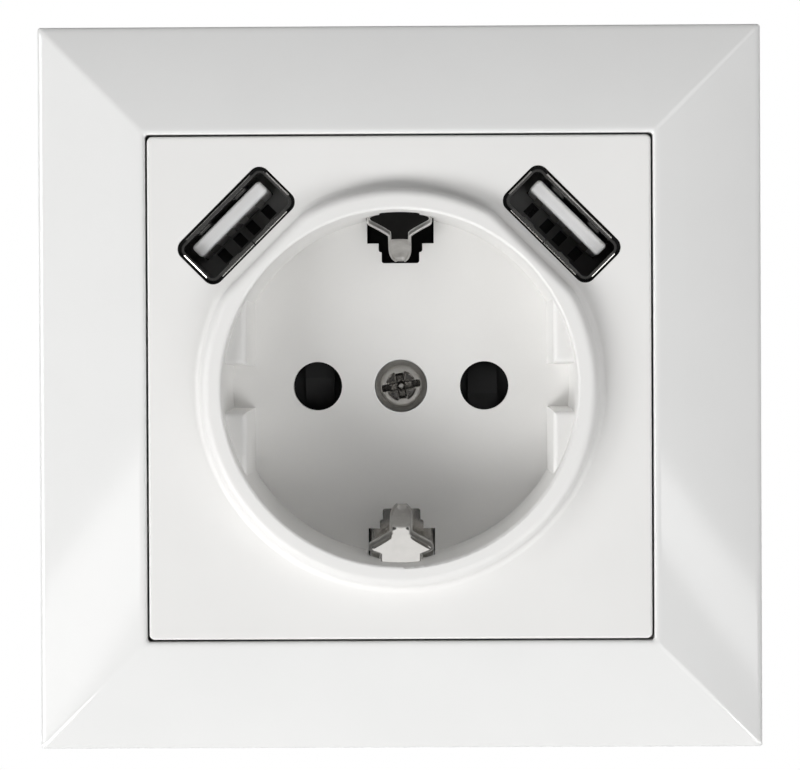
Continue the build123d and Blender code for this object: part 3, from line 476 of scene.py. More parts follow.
class Finishes:
    """All finishes of the socket, each built once and found by its name."""

    palette: tuple[Finish, ...] = (
        Moulding("frame_white", (0.84, 0.84, 0.832), (0.05, 0.07), relief=0.0000006, strength=0.03),
        Moulding("plate_white", (0.845, 0.839, 0.825), (0.36, 0.44)),
        Moulding("tongue_white", (0.80, 0.80, 0.80), (0.40, 0.5)),
        # Dark grey for the port's back wall: painted shade deep in the port.
        Moulding("port_black", (0.22, 0.22, 0.221), (0.5, 0.65), mottle=0.1),
        # Near black with little gloss: painted shade in the gap round each port's shell.
        Moulding("surround_black", (0.004, 0.004, 0.004), (0.55, 0.7), mottle=0.1, specular=0.1),
        Moulding("base_black", (0.022, 0.022, 0.024), (0.46, 0.52), grain=5000.0, mottle=0.04),
        Moulding("shutter_grey", (0.008, 0.008, 0.0085), (0.4, 0.5), mottle=0.08, specular=0.3),
        PlatedMetal("strap_nickel", (0.70, 0.685, 0.66), (0.07, 0.13), strength=0.06, mottle=0.03),
        PlatedMetal("strap_satin", (0.50, 0.49, 0.475), (0.42, 0.52), strength=0.06),
        PlatedMetal("strap_edge", (0.55, 0.54, 0.525), (0.62, 0.72), strength=0.06),
        # Near-black nickel: painted shade and dark reflection on the upper clip's bar and ramp.
        PlatedMetal("strap_dull", (0.0198, 0.0194, 0.0187), (0.42, 0.52), strength=0.06),
        PlatedMetal("shell_nickel", (0.48, 0.475, 0.46), (0.09, 0.16), (1, 0.06, 1), strength=0.02),
        PlatedMetal("screw_zinc", (0.481, 0.468, 0.442), (0.48, 0.6), (1, 1, 1), grain=3500.0, strength=0.1),
        # Darker zinc for the screw's lobes and its cross and slot: painted shade in the recess.
        PlatedMetal("screw_lobe", (0.275, 0.265, 0.25), (0.22, 0.36), (1, 1, 1), grain=3500.0),
        PlatedMetal("screw_recess", (0.14, 0.134, 0.123), (0.2, 0.34), (1, 1, 1), grain=3500.0),
        PlatedMetal("lip_nickel", (0.58, 0.57, 0.55), (0.14, 0.22), (1, 0.06, 1), strength=0.02),
        PlatedMetal("contact_dark", (0.24, 0.235, 0.225), (0.8, 0.9)),
        PlatedMetal("zinc", (0.62, 0.63, 0.65), (0.26, 0.38), (0.08, 1, 1)),
        PlatedMetal("spring_wire", (0.42, 0.42, 0.43), (0.25, 0.35)),
        PlatedMetal("contact_brass", (0.74, 0.55, 0.26), (0.24, 0.36)),
        # Near-black board behind the ports' contact windows: painted shade in the windows.
        Laminate("board_black", (0.004, 0.004, 0.004)),
        Laminate("board_green", (0.03, 0.16, 0.07)),
        Moulding("core_ferrite", (0.05, 0.05, 0.055), (0.5, 0.7), grain=4000.0, relief=0.00002, mottle=0.2),
        Moulding("coil_tape", (0.76, 0.50, 0.05), (0.3, 0.45), mottle=0.06),
        Moulding("capacitor_sleeve", (0.02, 0.022, 0.035), (0.2, 0.3), mottle=0.1),
        Moulding("fuse_coat", (0.18, 0.27, 0.22), (0.4, 0.55), mottle=0.1),
    )

    def __init__(self) -> None:
        """Builds the node materials."""
        self.materials = {finish.name: finish.material() for finish in self.palette}

    def __getitem__(self, name: str) -> bpy.types.Material:
        """The material of the finish with this name."""
        return self.materials[name]


@dataclass
class Assembly:
    """A sub-assembly of the socket, with the finishes that its pieces wear."""

    finishes: Finishes

    def coat(self, finish: str, *nodes: str) -> None:
        """Gives CAD nodes their finish.

        Args:
            finish: name of the finish.
            nodes: names of the CAD nodes.
        """
        for node in nodes:
            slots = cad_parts[node].data.materials
            slots.clear()
            slots.append(self.finishes[finish])
            LOG.info("node %s dressed in %s", node, finish)

    def mount(self, piece: bpy.types.Object, *names: str) -> bpy.types.Object:
        """Gives a new piece its finishes and lets it ride on the socket.

        Args:
            piece: the new piece.
            names: names of its finishes, in the order of its material slots.

        Returns:
            The same piece.
        """
        for name in names:
            piece.data.materials.append(self.finishes[name])
        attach(piece, "socket")
        LOG.info("piece %s built with %d faces", piece.name, len(piece.data.polygons))
        return piece


@dataclass
class CoverFrame(Assembly):
    """The square cover frame: four crowned bevels that meet in softened mitres round the plate's window."""

    half: float = 40.0
    window: float = 27.90
    edge_h: float = 5.8
    lip_h: float = 9.2
    crown: float = 0.22
    lip_round: float = 0.5
    edge_round: float = 0.22
    wall: float = 1.8
    ledge_top: float = 4.7
    ledge_t: float = 1.3
    ledge_reach: float = 2.35
    pocket: float = 1.45
    lip_t: float = 2.0
    skin: float = 1.7
    back_radii: tuple[float, ...] = (0.3, 2.5, 2.5, 0.8, 0.8, 0.4, 0.4)
    mitre: float = 0.42
    corner: float = 0.32
    run_out: float = 0.25
    edge_inset: float = 2.0
    lip_inset: float = 1.3
    lip_drop: float = 0.02
    slope_points: int = 41
    lip_points: int = 13

    def section(self) -> Array:
        """Closed half section, from the back of the outer wall over the bevel to the ledge and the hollow.

        The bevel is a straight slope plus a parabola of the crown's height; both of its edges are rounded.

        Returns:
            Rows of distance from the middle, height and corner radius.
        """
        t = np.linspace(0.0, 1.0, self.slope_points)
        rise = self.lip_h - self.edge_h
        inward = self.half + (self.window - self.half) * t
        slope = np.column_stack([inward, self.edge_h + rise * t + 4 * self.crown * t * (1 - t)])
        inset_out = int(np.argmax(slope[:, 0] < self.half - self.edge_inset * self.edge_round))
        inset_in = int(np.argmax(slope[:, 0] < self.window + self.lip_inset * self.lip_round))
        foot, lip = (self.half, self.edge_h - self.edge_round), (self.window, self.lip_h - self.lip_round)
        outer = bend(foot, slope[0], slope[inset_out], ARC_POINTS)
        inner = bend(slope[inset_in], slope[-1] - (0, self.lip_drop), lip, self.lip_points)
        reach = self.window - self.ledge_reach
        under = self.ledge_top - self.ledge_t
        pocket, inside = self.window + self.pocket, self.half - self.wall
        back = np.array([
            (self.window, self.ledge_top), (reach, self.ledge_top), (reach, under),
            (pocket, under), (pocket, self.lip_h - self.lip_t),
            (inside, self.edge_h - self.skin), (inside, 0.0),
        ])
        front = np.concatenate([[(self.half, 0.0)], outer, slope[inset_out + 1:inset_in], inner])
        radius_front = np.full(len(front), self.mitre)
        radius_front[:len(outer) // 2 + 1] = self.corner
        line = np.concatenate([front, back])
        return np.column_stack([line, np.concatenate([radius_front, self.back_radii])])

    def build(self) -> None:
        """Carries the section round the square, with an arc of its own radius at every corner.

        A short run-out on both sides of each arc keeps the long faces flat up to the mitre. The piece stands
        for the CAD frame.
        """
        reach, height, radius = (column[:, None] for column in self.section().T)
        turn = np.concatenate([[0.0], np.linspace(0.0, math.pi / 2, ARC_POINTS), [math.pi / 2]])
        slide = np.tile(np.concatenate([[-self.run_out], np.zeros(ARC_POINTS), [self.run_out]]), 4)
        angle, sign_x, sign_z = four_corners(turn)
        x = sign_x * (reach - radius) + radius * np.cos(angle) - slide * np.sin(angle)
        z = sign_z * (reach - radius) + radius * np.sin(angle) + slide * np.cos(angle)
        points = np.stack([x, np.broadcast_to(-height, x.shape), z], axis=-1)
        piece = make_piece("frame_cover", [Grid(points, wrap_rows=True, wrap_cols=True)], sharp_deg=28.0)
        self.mount(piece, "frame_white")
        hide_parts("cover_frame")


@dataclass
class CoverScrew(Assembly):
    """The screw in the well's floor: a head with cross recess and slot, a washer and a threaded shank."""

    top_h: float = -7.1
    seat_h: float = -9.0
    end_h: float = -17.0
    head_r: float = 2.4
    edge_round: float = 0.45
    dome: float = 0.08
    bowl_r: float = 1.72
    bowl_depth: float = 0.5
    cross_deg: float = 8.0
    cross_half: float = 0.38
    cross_reach: float = 1.42
    cross_depth: float = 1.15
    cross_rise: float = 0.35
    ridge: float = 0.12
    ridge_slope: float = 0.14
    pip_r: float = 0.6
    pip_rise: float = 0.5
    star: float = 0.62
    star_notch: float = 0.5
    # The washer is a zinc ring over the bore's white floor round the head: painted shade on that floor.
    washer_r: float = 2.9
    washer_h: float = -8.4
    slot_deg: float = 9.0
    slot_half: float = 0.3
    slot_reach: float = 2.18
    slot_depth: float = 0.8
    side_slope: Pair = (0.06, 0.12)
    end_slope: Pair = (0.25, 0.1)
    bowl_slope: Pair = (0.16, 0.04)
    shaded_cut_from: float = 0.12
    shaded_lobe_from: float = 0.1
    shank_r: float = 1.5
    thread: float = 0.16
    pitch: float = 0.5
    point: float = 0.3
    around: int = 144
    rings: int = 64
    turn_rows: int = 6

    def turned(self, x: Array, z: Array, turn_deg: float) -> tuple[Array, Array]:
        """Distances along and across a line through the middle, turned from the horizontal."""
        c, s = math.cos(math.radians(turn_deg)), math.sin(math.radians(turn_deg))
        return np.abs(x * c + z * s), np.abs(z * c - x * s)

    def groove(self, x: Array, z: Array, turn_deg: float, half: float, reach: float) -> Array:
        """Depth share of a straight groove through the middle, 1 on its floor and 0 outside.

        Args:
            x: distances to the right.
            z: distances upward.
            turn_deg: turn of the groove from the horizontal.
            half: half of the groove's width.
            reach: distance from the middle to the groove's end.

        Returns:
            Numbers from 0 to 1, with sloped walls.
        """
        along, across = self.turned(x, z, turn_deg)
        beside = smooth(across, half - self.side_slope[0], half + self.side_slope[1])
        beyond = smooth(along, reach - self.end_slope[0], reach + self.end_slope[1])
        return (1 - beside) * (1 - beyond)

    def head(self, angle: Array) -> tuple[Array, Array]:
        """Top of the head: a flat dome with a rounded edge, minus the deepest of lobes, cross and slot.

        The lobes are the quarters of a bowl that a ridge parts from the arms of the cross.

        Args:
            angle: angles of the points round the head.

        Returns:
            The points, and the zone of each quad. Lobes and cuts take darker zinc as painted shade in the
            recess, while a star in the middle of the cross stays bare.
        """
        radius = np.linspace(0.0, self.head_r, self.rings)[:, None]
        x, z = radius * np.cos(angle), radius * np.sin(angle)
        over = np.clip(radius - self.head_r + self.edge_round, 0.0, self.edge_round)
        height = self.top_h - self.dome * (radius / self.head_r) ** 2
        height = height - self.edge_round + np.sqrt(self.edge_round**2 - over**2)
        cross = np.maximum(
            self.groove(x, z, self.cross_deg, self.cross_half, self.cross_reach),
            self.groove(x, z, self.cross_deg + 90.0, self.cross_half, self.cross_reach),
        )
        slot = self.groove(x, z, self.slot_deg, self.slot_half, self.slot_reach) * self.slot_depth
        apart = np.minimum(*self.turned(x, z, self.cross_deg)) - self.cross_half
        bowl = 1 - smooth(radius, self.bowl_r - self.bowl_slope[0], self.bowl_r + self.bowl_slope[1])
        lobes = self.bowl_depth * bowl * smooth(apart, self.ridge, self.ridge + self.ridge_slope)
        pip = 1 - self.pip_rise * (1 - smooth(radius, 0.0, self.pip_r))
        rise = 1 - self.cross_rise * smooth(radius, self.pip_r / 2, self.cross_reach)
        arms = cross * self.cross_depth * rise * pip
        depth = np.max([lobes, arms, slot], axis=0)
        # Painted shade: quads deep in the lobes, in the cross and in the slot take darker zinc.
        zone = np.where(lobes > self.shaded_lobe_from, ScrewZone.LOBE, ScrewZone.BARE)
        zone = np.where(np.maximum(arms, slot) > self.shaded_cut_from, ScrewZone.CUT, zone)
        notch = np.abs(np.sin(2 * (angle - math.radians(self.cross_deg))))
        star = radius * (1 + self.star_notch * notch)
        zone = np.where(star < self.star * self.pip_r, ScrewZone.BARE, zone)
        return np.stack([x, -(height - depth), z], axis=-1), zone

    def shank(self, angle: Array) -> Array:
        """Washer, seat and shank. The washer covers the bore's white floor round the head with zinc, as
        painted shade on that floor.

        The shank's radius falls and rises once per pitch of height plus turn, which winds the thread.

        Args:
            angle: angles of the points round the shank.

        Returns:
            Grid of points, closed to a point at the end.
        """
        height = np.arange(self.seat_h, self.end_h, -self.pitch / self.turn_rows)[:, None]
        wave = np.abs(((height / self.pitch + angle / (2 * math.pi)) % 1.0) - 0.5) * 2
        radius = self.shank_r - self.thread * wave
        depth = np.broadcast_to(-height, radius.shape)
        rows = np.stack([radius * np.cos(angle), depth, radius * np.sin(angle)], axis=-1)
        ring = np.stack([np.cos(angle), np.zeros_like(angle), np.sin(angle)], axis=-1)
        rim = [
            ring * self.head_r + (0.0, -self.washer_h, 0.0),
            ring * self.washer_r + (0.0, -self.washer_h, 0.0),
            ring * self.washer_r + (0.0, -self.seat_h, 0.0),
        ]
        tip = ring * 0.0 + (0.0, self.point - self.end_h, 0.0)
        return np.concatenate([rim, rows, tip[None]])

    def build(self) -> None:
        """Turns head and shank into one skin, which stands for the CAD screw."""
        angle = np.linspace(0.0, 2 * math.pi, self.around, endpoint=False)
        head, zone = self.head(angle)
        shank = self.shank(angle)
        bare = np.full((len(shank) - 1, self.around), ScrewZone.BARE)
        skin = Grid(np.concatenate([head, shank]), wrap_cols=True, finish=np.concatenate([zone, bare]))
        piece = make_piece("screw_cover", [skin], sharp_deg=40.0)
        self.mount(piece, "screw_zinc", "screw_lobe", "screw_recess")
        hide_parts("cover_screw")


@dataclass
class EarthStrap(Assembly):
    """The earth strap: a bent spring strip with a flanged clip at both ends, a boss and a terminal tab."""

    bar_y: float = 11.35
    leg_z: float = 22.2
    top_h: float = 5.5
    bend_h: float = 0.7
    bend_z: float = 16.1
    tip_y: float = 4.9
    tip_z: float = 14.4
    play: float = 0.37
    thickness: float = 0.22
    bar_half: float = 3.5
    leg_half: float = 2.5
    neck_half: float = 2.1
    wing_half: float = 3.3
    wing_z: float = 18.35
    throat_z: float = 17.0
    finger_half: float = 0.95
    nose: float = 4.2
    blunt: float = 0.1
    flange: float = 0.72
    finger_flange: float = 0.28
    bare_edge: float = 0.03
    dish: float = 0.22
    bends: Triple = (0.8, 1.0, 0.75)
    step: float = 0.16
    bar_zone: float = 0.5
    bar_slims: Pair = (2.2, 1.0)
    wing_power: float = 1.15
    wing_back: Pair = (0.2, 0.75)
    flange_back: float = 0.12
    finger_blend: Pair = (0.35, 0.5)
    finger_edge: float = 0.1
    tip_blend: float = 0.6
    roll_out: tuple[float, ...] = (0.10, 0.12, 0.10, 0.05)
    roll_up: tuple[float, ...] = (1.0, 0.55, 0.2, 0.05)
    roll_from: float = 0.4
    boss_gap: float = 0.1
    boss_r: float = 2.3
    boss_bore: float = 1.5
    boss_len: float = 2.2
    boss_chamfer: float = 0.25
    tab_half: float = 3.2
    tab_t: float = 0.8
    tab_len: float = 13.4
    tab_z: float = -14.0
    columns: int = 25
    around: int = 48

    def width(self, y: Array, z: Array, left: Array) -> Array:
        """Half width of the strip: wide on the bar, slim at the neck, winged on the ramp, round at the nose.

        Args:
            y: places into the wall of the points along the strip.
            z: places upward of the same points.
            left: distance along the strip to the finger's end.

        Returns:
            Half widths.
        """
        slim = smooth(z, self.leg_z - self.bar_slims[0], self.leg_z - self.bar_slims[1])
        bar = self.leg_half + (self.bar_half - self.leg_half) * (1 - slim)
        sweep = np.clip((z - self.throat_z) / (self.wing_z - self.throat_z), 0.0, 1.0)
        ramp = self.finger_half + (self.wing_half - self.finger_half) * sweep**self.wing_power
        back_from, back_to = self.wing_z + self.wing_back[0], self.wing_z + self.wing_back[1]
        neck = self.neck_half + (self.wing_half - self.neck_half) * (1 - smooth(z, back_from, back_to))
        ramp = np.where(z > back_from, neck, ramp)
        ramp = np.where(z > self.leg_z - self.bar_slims[1], self.leg_half, ramp)
        share = np.clip((left + self.blunt) / self.nose, 0.0, 1.0)
        return np.where(y > self.bar_y - self.bar_zone, bar, ramp * np.sqrt(1 - (1 - share) ** 2))

    def half(self) -> Array:
        """Front face of the upper half strip, from the middle of the bar to the tip of the finger.

        Each row runs across the strip at one point of its side view. Its ends turn up along the strip's
        normal where the clip has its flange, and at the tip the whole row rises to the flange's height.

        Returns:
            Grid of points.
        """
        corners = [
            (self.bar_y, 0.0), (self.bar_y, self.leg_z), (-self.top_h, self.leg_z),
            (-self.bend_h, self.bend_z), (self.tip_y, self.tip_z),
        ]
        line = rounded_path(corners, self.bends, self.step)
        tangent = np.gradient(line, axis=0)
        tangent /= np.linalg.norm(tangent, axis=1)[:, None]
        normal = np.column_stack([tangent[:, 1], -tangent[:, 0]])
        steps = np.linalg.norm(np.diff(line, axis=0), axis=1)
        left = np.concatenate([np.cumsum(steps[::-1])[::-1], [0.0]])
        y, z = line.T
        wide = self.width(y, z, left)[:, None]
        on_clip = (y < self.bar_y - self.bar_zone) & (z < self.wing_z + self.flange_back)
        finger = 1 - smooth(z, self.bend_z - self.finger_blend[0], self.bend_z + self.finger_blend[1])
        flange = self.flange + (self.finger_flange - self.flange) * finger
        rise = np.where(on_clip, flange, self.bare_edge)[:, None]
        across = np.linspace(-1.0, 1.0, self.columns)
        edge = self.dish * (finger * on_clip)[:, None]
        dish = edge * across**2
        spread = self.roll_out * np.minimum(1.0, wide / self.roll_from)
        roll = edge + rise * self.roll_up
        x = np.concatenate([-wide - spread, across * wide, wide + spread[:, ::-1]], axis=1)
        lift = np.concatenate([roll, dish, roll[:, ::-1]], axis=1)
        tip = (1 - smooth(left, 0.0, self.tip_blend))[:, None]
        lift = lift * (1 - tip) + (edge + rise) * tip + self.thickness / 2
        raised = line[:, None] + normal[:, None] * lift[..., None]
        return np.concatenate([x[..., None], raised], axis=-1)

    def zones(self, half: Array, plain: StrapZone) -> Array:
        """Zone of each quad of a half strip.

        Args:
            half: points of the upper half strip.
            plain: zone of the bar and of the ramp.

        Returns:
            The finger's and the flanges' zones on the clip, and the plain zone on the bar and the ramp.
        """
        middle = half[:-1, half.shape[1] // 2]
        column = np.arange(half.shape[1] - 1)
        turned = len(self.roll_up)
        flange = (column < turned) | (column >= column.size - turned)
        ramp = np.where(flange, StrapZone.FLANGE, plain)
        clip = np.where(middle[:, 2:] < self.bend_z + self.finger_edge, StrapZone.FINGER, ramp)
        return np.where(middle[:, 1:2] > self.bar_y - self.bar_zone, plain, clip)

    def strip(self) -> bpy.types.Object:
        """Joins the upper half and its mirror image into one strip with the sheet's thickness.

        Returns:
            The strip.
        """
        upper = self.half()
        lower = upper[:, ::-1] * (1.0, 1.0, -1.0)
        shift = np.array([0.0, 0.0, self.play])
        # The upper half's bar and ramp are painted near black as shade and dark reflection; the lower half's
        # stay bright nickel.
        grids = [
            Grid(upper + shift, finish=self.zones(upper, StrapZone.DULL)),
            Grid(lower + shift, finish=self.zones(upper, StrapZone.NICKEL)),
        ]
        piece = make_piece("strap_strip", grids, sharp_deg=50.0, closed=False)
        sheet = piece.modifiers.new("sheet", "SOLIDIFY")
        sheet.thickness = self.thickness * MM
        sheet.offset = -1.0
        return piece

    def terminal(self) -> bpy.types.Object:
        """Builds the boss as a turned ring and the tab as a flat bar, both behind the strip.

        Returns:
            Boss and tab as one piece.
        """
        angle = np.linspace(0.0, 2 * math.pi, self.around, endpoint=False)
        face = self.bar_y + self.boss_gap
        end = face + self.boss_len
        ring = np.array([
            (self.boss_bore, face), (self.boss_r, face), (self.boss_r, end - self.boss_chamfer),
            (self.boss_r - self.boss_chamfer, end), (self.boss_bore, end),
        ])
        radius, level = ring[:, :1], np.broadcast_to(ring[:, 1:], (len(ring), angle.size))
        boss = np.stack([radius * np.cos(angle), level, radius * np.sin(angle)], axis=-1)
        loop = np.array([(-1, -1), (1, -1), (1, 0), (1, 1), (-1, 1), (-1, 0)], dtype=float)
        scale = np.array([0.0, 1.0, 1.0, 0.0])[:, None]
        across = loop[:, 0] * self.tab_half * scale
        up = self.tab_z + (loop[:, 1] - 1) * self.tab_t / 2 * scale
        depth = face + np.array([0.0, 0.0, self.tab_len, self.tab_len])[:, None]
        tab = np.stack([across, np.broadcast_to(depth, across.shape), up], axis=-1)
        grids = [Grid(boss, wrap_rows=True, wrap_cols=True), Grid(tab, wrap_cols=True)]
        return make_piece("strap_terminal", grids, sharp_deg=30.0)

    def build(self) -> None:
        """Builds strip and terminal, which together stand for the CAD strap."""
        strip = self.mount(self.strip(), "strap_nickel", "strap_satin", "strap_dull", "strap_edge")
        terminal = self.mount(self.terminal(), "strap_nickel")
        for piece in (strip, terminal):
            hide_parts("earth_strap")


@dataclass
class SocketInsert(Assembly):
    """The centre plate with its well, the shutter behind it and the pin contacts."""

    def dress(self) -> None:
        """Gives the insert's CAD nodes their finishes."""
        self.coat("plate_white", "centre_plate")
        self.coat("shutter_grey", "shutter_rotor")
        self.coat("spring_wire", "shutter_spring")
        self.coat("contact_brass", "contact_line", "contact_neutral")


@dataclass
class ChargingPort(Assembly):
    """One charging port: shell with its lips, tongue, spacer and contacts, and a near-black surround that
    paints the shade in the gap round the shell.
    """

    side: Side
    reach: float = 25.3
    slot: Triple = (6.74, 3.115, 1.24)
    shell: Triple = (6.42, 2.745, 0.92)
    front_h: float = 8.5
    back_h: float = 6.6
    tongue: Triple = (5.25, 0.80, 0.42)
    tongue_off: float = 1.1
    tongue_h: Pair = (-4.4, 7.03)
    tongue_round: float = 0.42
    pole: float = 0.01
    lip_h: Pair = (8.52, 8.985)
    lip_long: float = 5.0
    lip_short: float = 1.75
    lip_outer: Pair = (2.44, 2.84)
    lip_inner: Pair = (2.44, 2.94)
    lip_end: Pair = (6.1, 6.52)
    lip_round: float = 0.16
    lip_tight: float = 0.12
    lip_wide: float = 0.3
    seam: float = 0.07
    lip_points: int = 8
    edge_points: int = 6

    def place(self, flat: Array, height: Array) -> Array:
        """Turns points in the port's own plane into points of the socket.

        The port's plane has one axis along the slot and one away from the socket's middle, both at 45
        degrees to the socket's own.

        Args:
            flat: points along and across the slot.
            height: heights that go with them.

        Returns:
            Points of the socket.
        """
        across, out = flat[..., 0], flat[..., 1] + self.reach
        sign, diag = self.side.value, math.sqrt(0.5)
        x, z = (across + sign * out) * diag, (out - sign * across) * diag
        return np.stack([x, np.broadcast_to(-height, x.shape), z], axis=-1)

    def lip(self, out: tuple[int, int], span: Pair, reach: Pair, radius: float) -> Grid:
        """One rolled lip: a bar whose outer front edge is a quarter circle, with closed ends.

        Args:
            out: direction in the port's plane in which the lip faces outward.
            span: start and end of the lip along its side.
            reach: distance of its inner and its outer face from the port's middle.
            radius: radius of the quarter circle.

        Returns:
            The lip's surface.
        """
        low, top = self.lip_h
        turn = np.linspace(0.0, math.pi / 2, self.lip_points)
        arc = np.column_stack([reach[1] + radius * (np.cos(turn) - 1), top + radius * (np.sin(turn) - 1)])
        section = np.concatenate([[(reach[0], low), (reach[1], low)], arc, [(reach[0], top)]])
        cap = np.broadcast_to(section.mean(0), section.shape)
        rows = np.stack([cap, section, section, cap])
        away, along = rows[..., 0], np.repeat(span, 2)[:, None]
        flat = np.stack([away * out[0] + along * out[1], away * out[1] - along * out[0]], axis=-1)
        return Grid(self.place(flat, rows[..., 1]), wrap_cols=True)

    def lips(self) -> None:
        """Builds the rolled lips on the four sides of the shell, with the shell's seam on the inner side."""
        long, short, seam = self.lip_long, self.lip_short, self.seam
        grids = [
            self.lip((0, 1), (-long, long), self.lip_outer, self.lip_round),
            self.lip((0, -1), (-long, -seam), self.lip_inner, self.lip_tight),
            self.lip((0, -1), (seam, long), self.lip_inner, self.lip_tight),
            self.lip((-1, 0), (-short, short), self.lip_end, self.lip_wide),
            self.lip((1, 0), (-short, short), self.lip_end, self.lip_round),
        ]
        self.mount(make_piece("port_lips_" + self.side.word, grids), "lip_nickel")

    def surround(self) -> None:
        """Fills the gap between slot and shell with a near-black ring, as painted shade in the gap: a
        rectangle carried round both loops.
        """
        outer, inner = rounded_loop(*self.slot), rounded_loop(*self.shell)
        height = np.array([self.front_h, self.front_h, self.back_h, self.back_h])
        points = self.place(np.stack([outer, inner, inner, outer]), height[:, None])
        ring = make_piece("port_surround_" + self.side.word, [Grid(points, wrap_rows=True, wrap_cols=True)])
        self.mount(ring, "surround_black")

    def blade(self) -> None:
        """Builds the tongue as a bar with rounded corners, whose front edge is a quarter circle."""
        length, width, corner = self.tongue
        turn = np.linspace(0.0, math.pi / 2, self.edge_points)
        edge = self.tongue_round * (1 - np.cos(turn))
        inset = np.concatenate([[width - self.pole, 0.0], edge, [width - self.pole]])
        back, front = self.tongue_h
        height = np.concatenate([[back, back], front - self.tongue_round * (1 - np.sin(turn)), [front]])
        loops = [rounded_loop(length - i, width - i, max(self.pole / 2, corner - i)) for i in inset]
        flat = np.stack(loops) + (0.0, self.tongue_off)
        bar = Grid(self.place(flat, height[:, None]), wrap_cols=True)
        piece = self.mount(make_piece("tongue_bar_" + self.side.word, [bar]), "tongue_white")
        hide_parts("port_tongue_" + self.side.word)

    def dress(self) -> None:
        """Gives the port's CAD nodes their finishes."""
        self.coat("shell_nickel", "port_shell_" + self.side.word)
        # The spacer, the port's back wall, is dark grey as painted shade deep in the port.
        self.coat("port_black", "port_spacer_" + self.side.word)
        self.coat("contact_dark", "port_contacts_" + self.side.word)


@dataclass
class WallHardware(Assembly):
    """The support ring, its claws and all screws behind the cover."""

    def dress(self) -> None:
        """Gives the hardware's CAD nodes their finishes."""
        self.coat("zinc", "support_ring", "ring_screws", "claw_pins", "housing_screws")
        self.coat("zinc", "clamp_plates", "terminal_screws")
        for side in Side:
            self.coat("zinc", "claw_" + side.word, "claw_nut_" + side.word, "claw_screw_" + side.word)


@dataclass
class ChargerWorks(Assembly):
    """The base, the rear cover and the charger's boards and components."""

    def dress(self) -> None:
        """Gives the works' CAD nodes their finishes."""
        self.coat("base_black", "base_body", "rear_cover", "bridge_rectifier")
        # The port board is near black, so the contact windows before it show painted shade.
        self.coat("board_black", "port_board")
        self.coat("board_green", "main_board")
        self.coat("contact_brass", "link_pins")
        self.coat("core_ferrite", "transformer_core")
        self.coat("coil_tape", "transformer_coil")
        self.coat("capacitor_sleeve", "input_capacitor", "output_capacitor")
        self.coat("fuse_coat", "fuse_resistor")


@dataclass(frozen=True)
class Lamp:
    """A soft lamp in the studio, aimed at the socket, with its place and size in metres."""

    name: str
    place: Triple
    power: float
    size: Pair = (0.34, 0.34)
    roll_deg: float = 0.0

    def build(self) -> None:
        """Places the lamp, rolls it and points it at the middle of the socket."""
        data = bpy.data.lights.new(self.name, "AREA")
        data.shape = "RECTANGLE"
        data.size, data.size_y = self.size
        data.energy = self.power
        lamp = bpy.data.objects.new(self.name, data)
        aim = (-Vector(self.place)).to_track_quat("-Z", "Y").to_matrix().to_4x4()
        roll = Matrix.Rotation(math.radians(self.roll_deg), 4, "Z")
        lamp.matrix_world = Matrix.Translation(self.place) @ aim @ roll
        lamp.visible_camera = False
        bpy.context.scene.collection.objects.link(lamp)


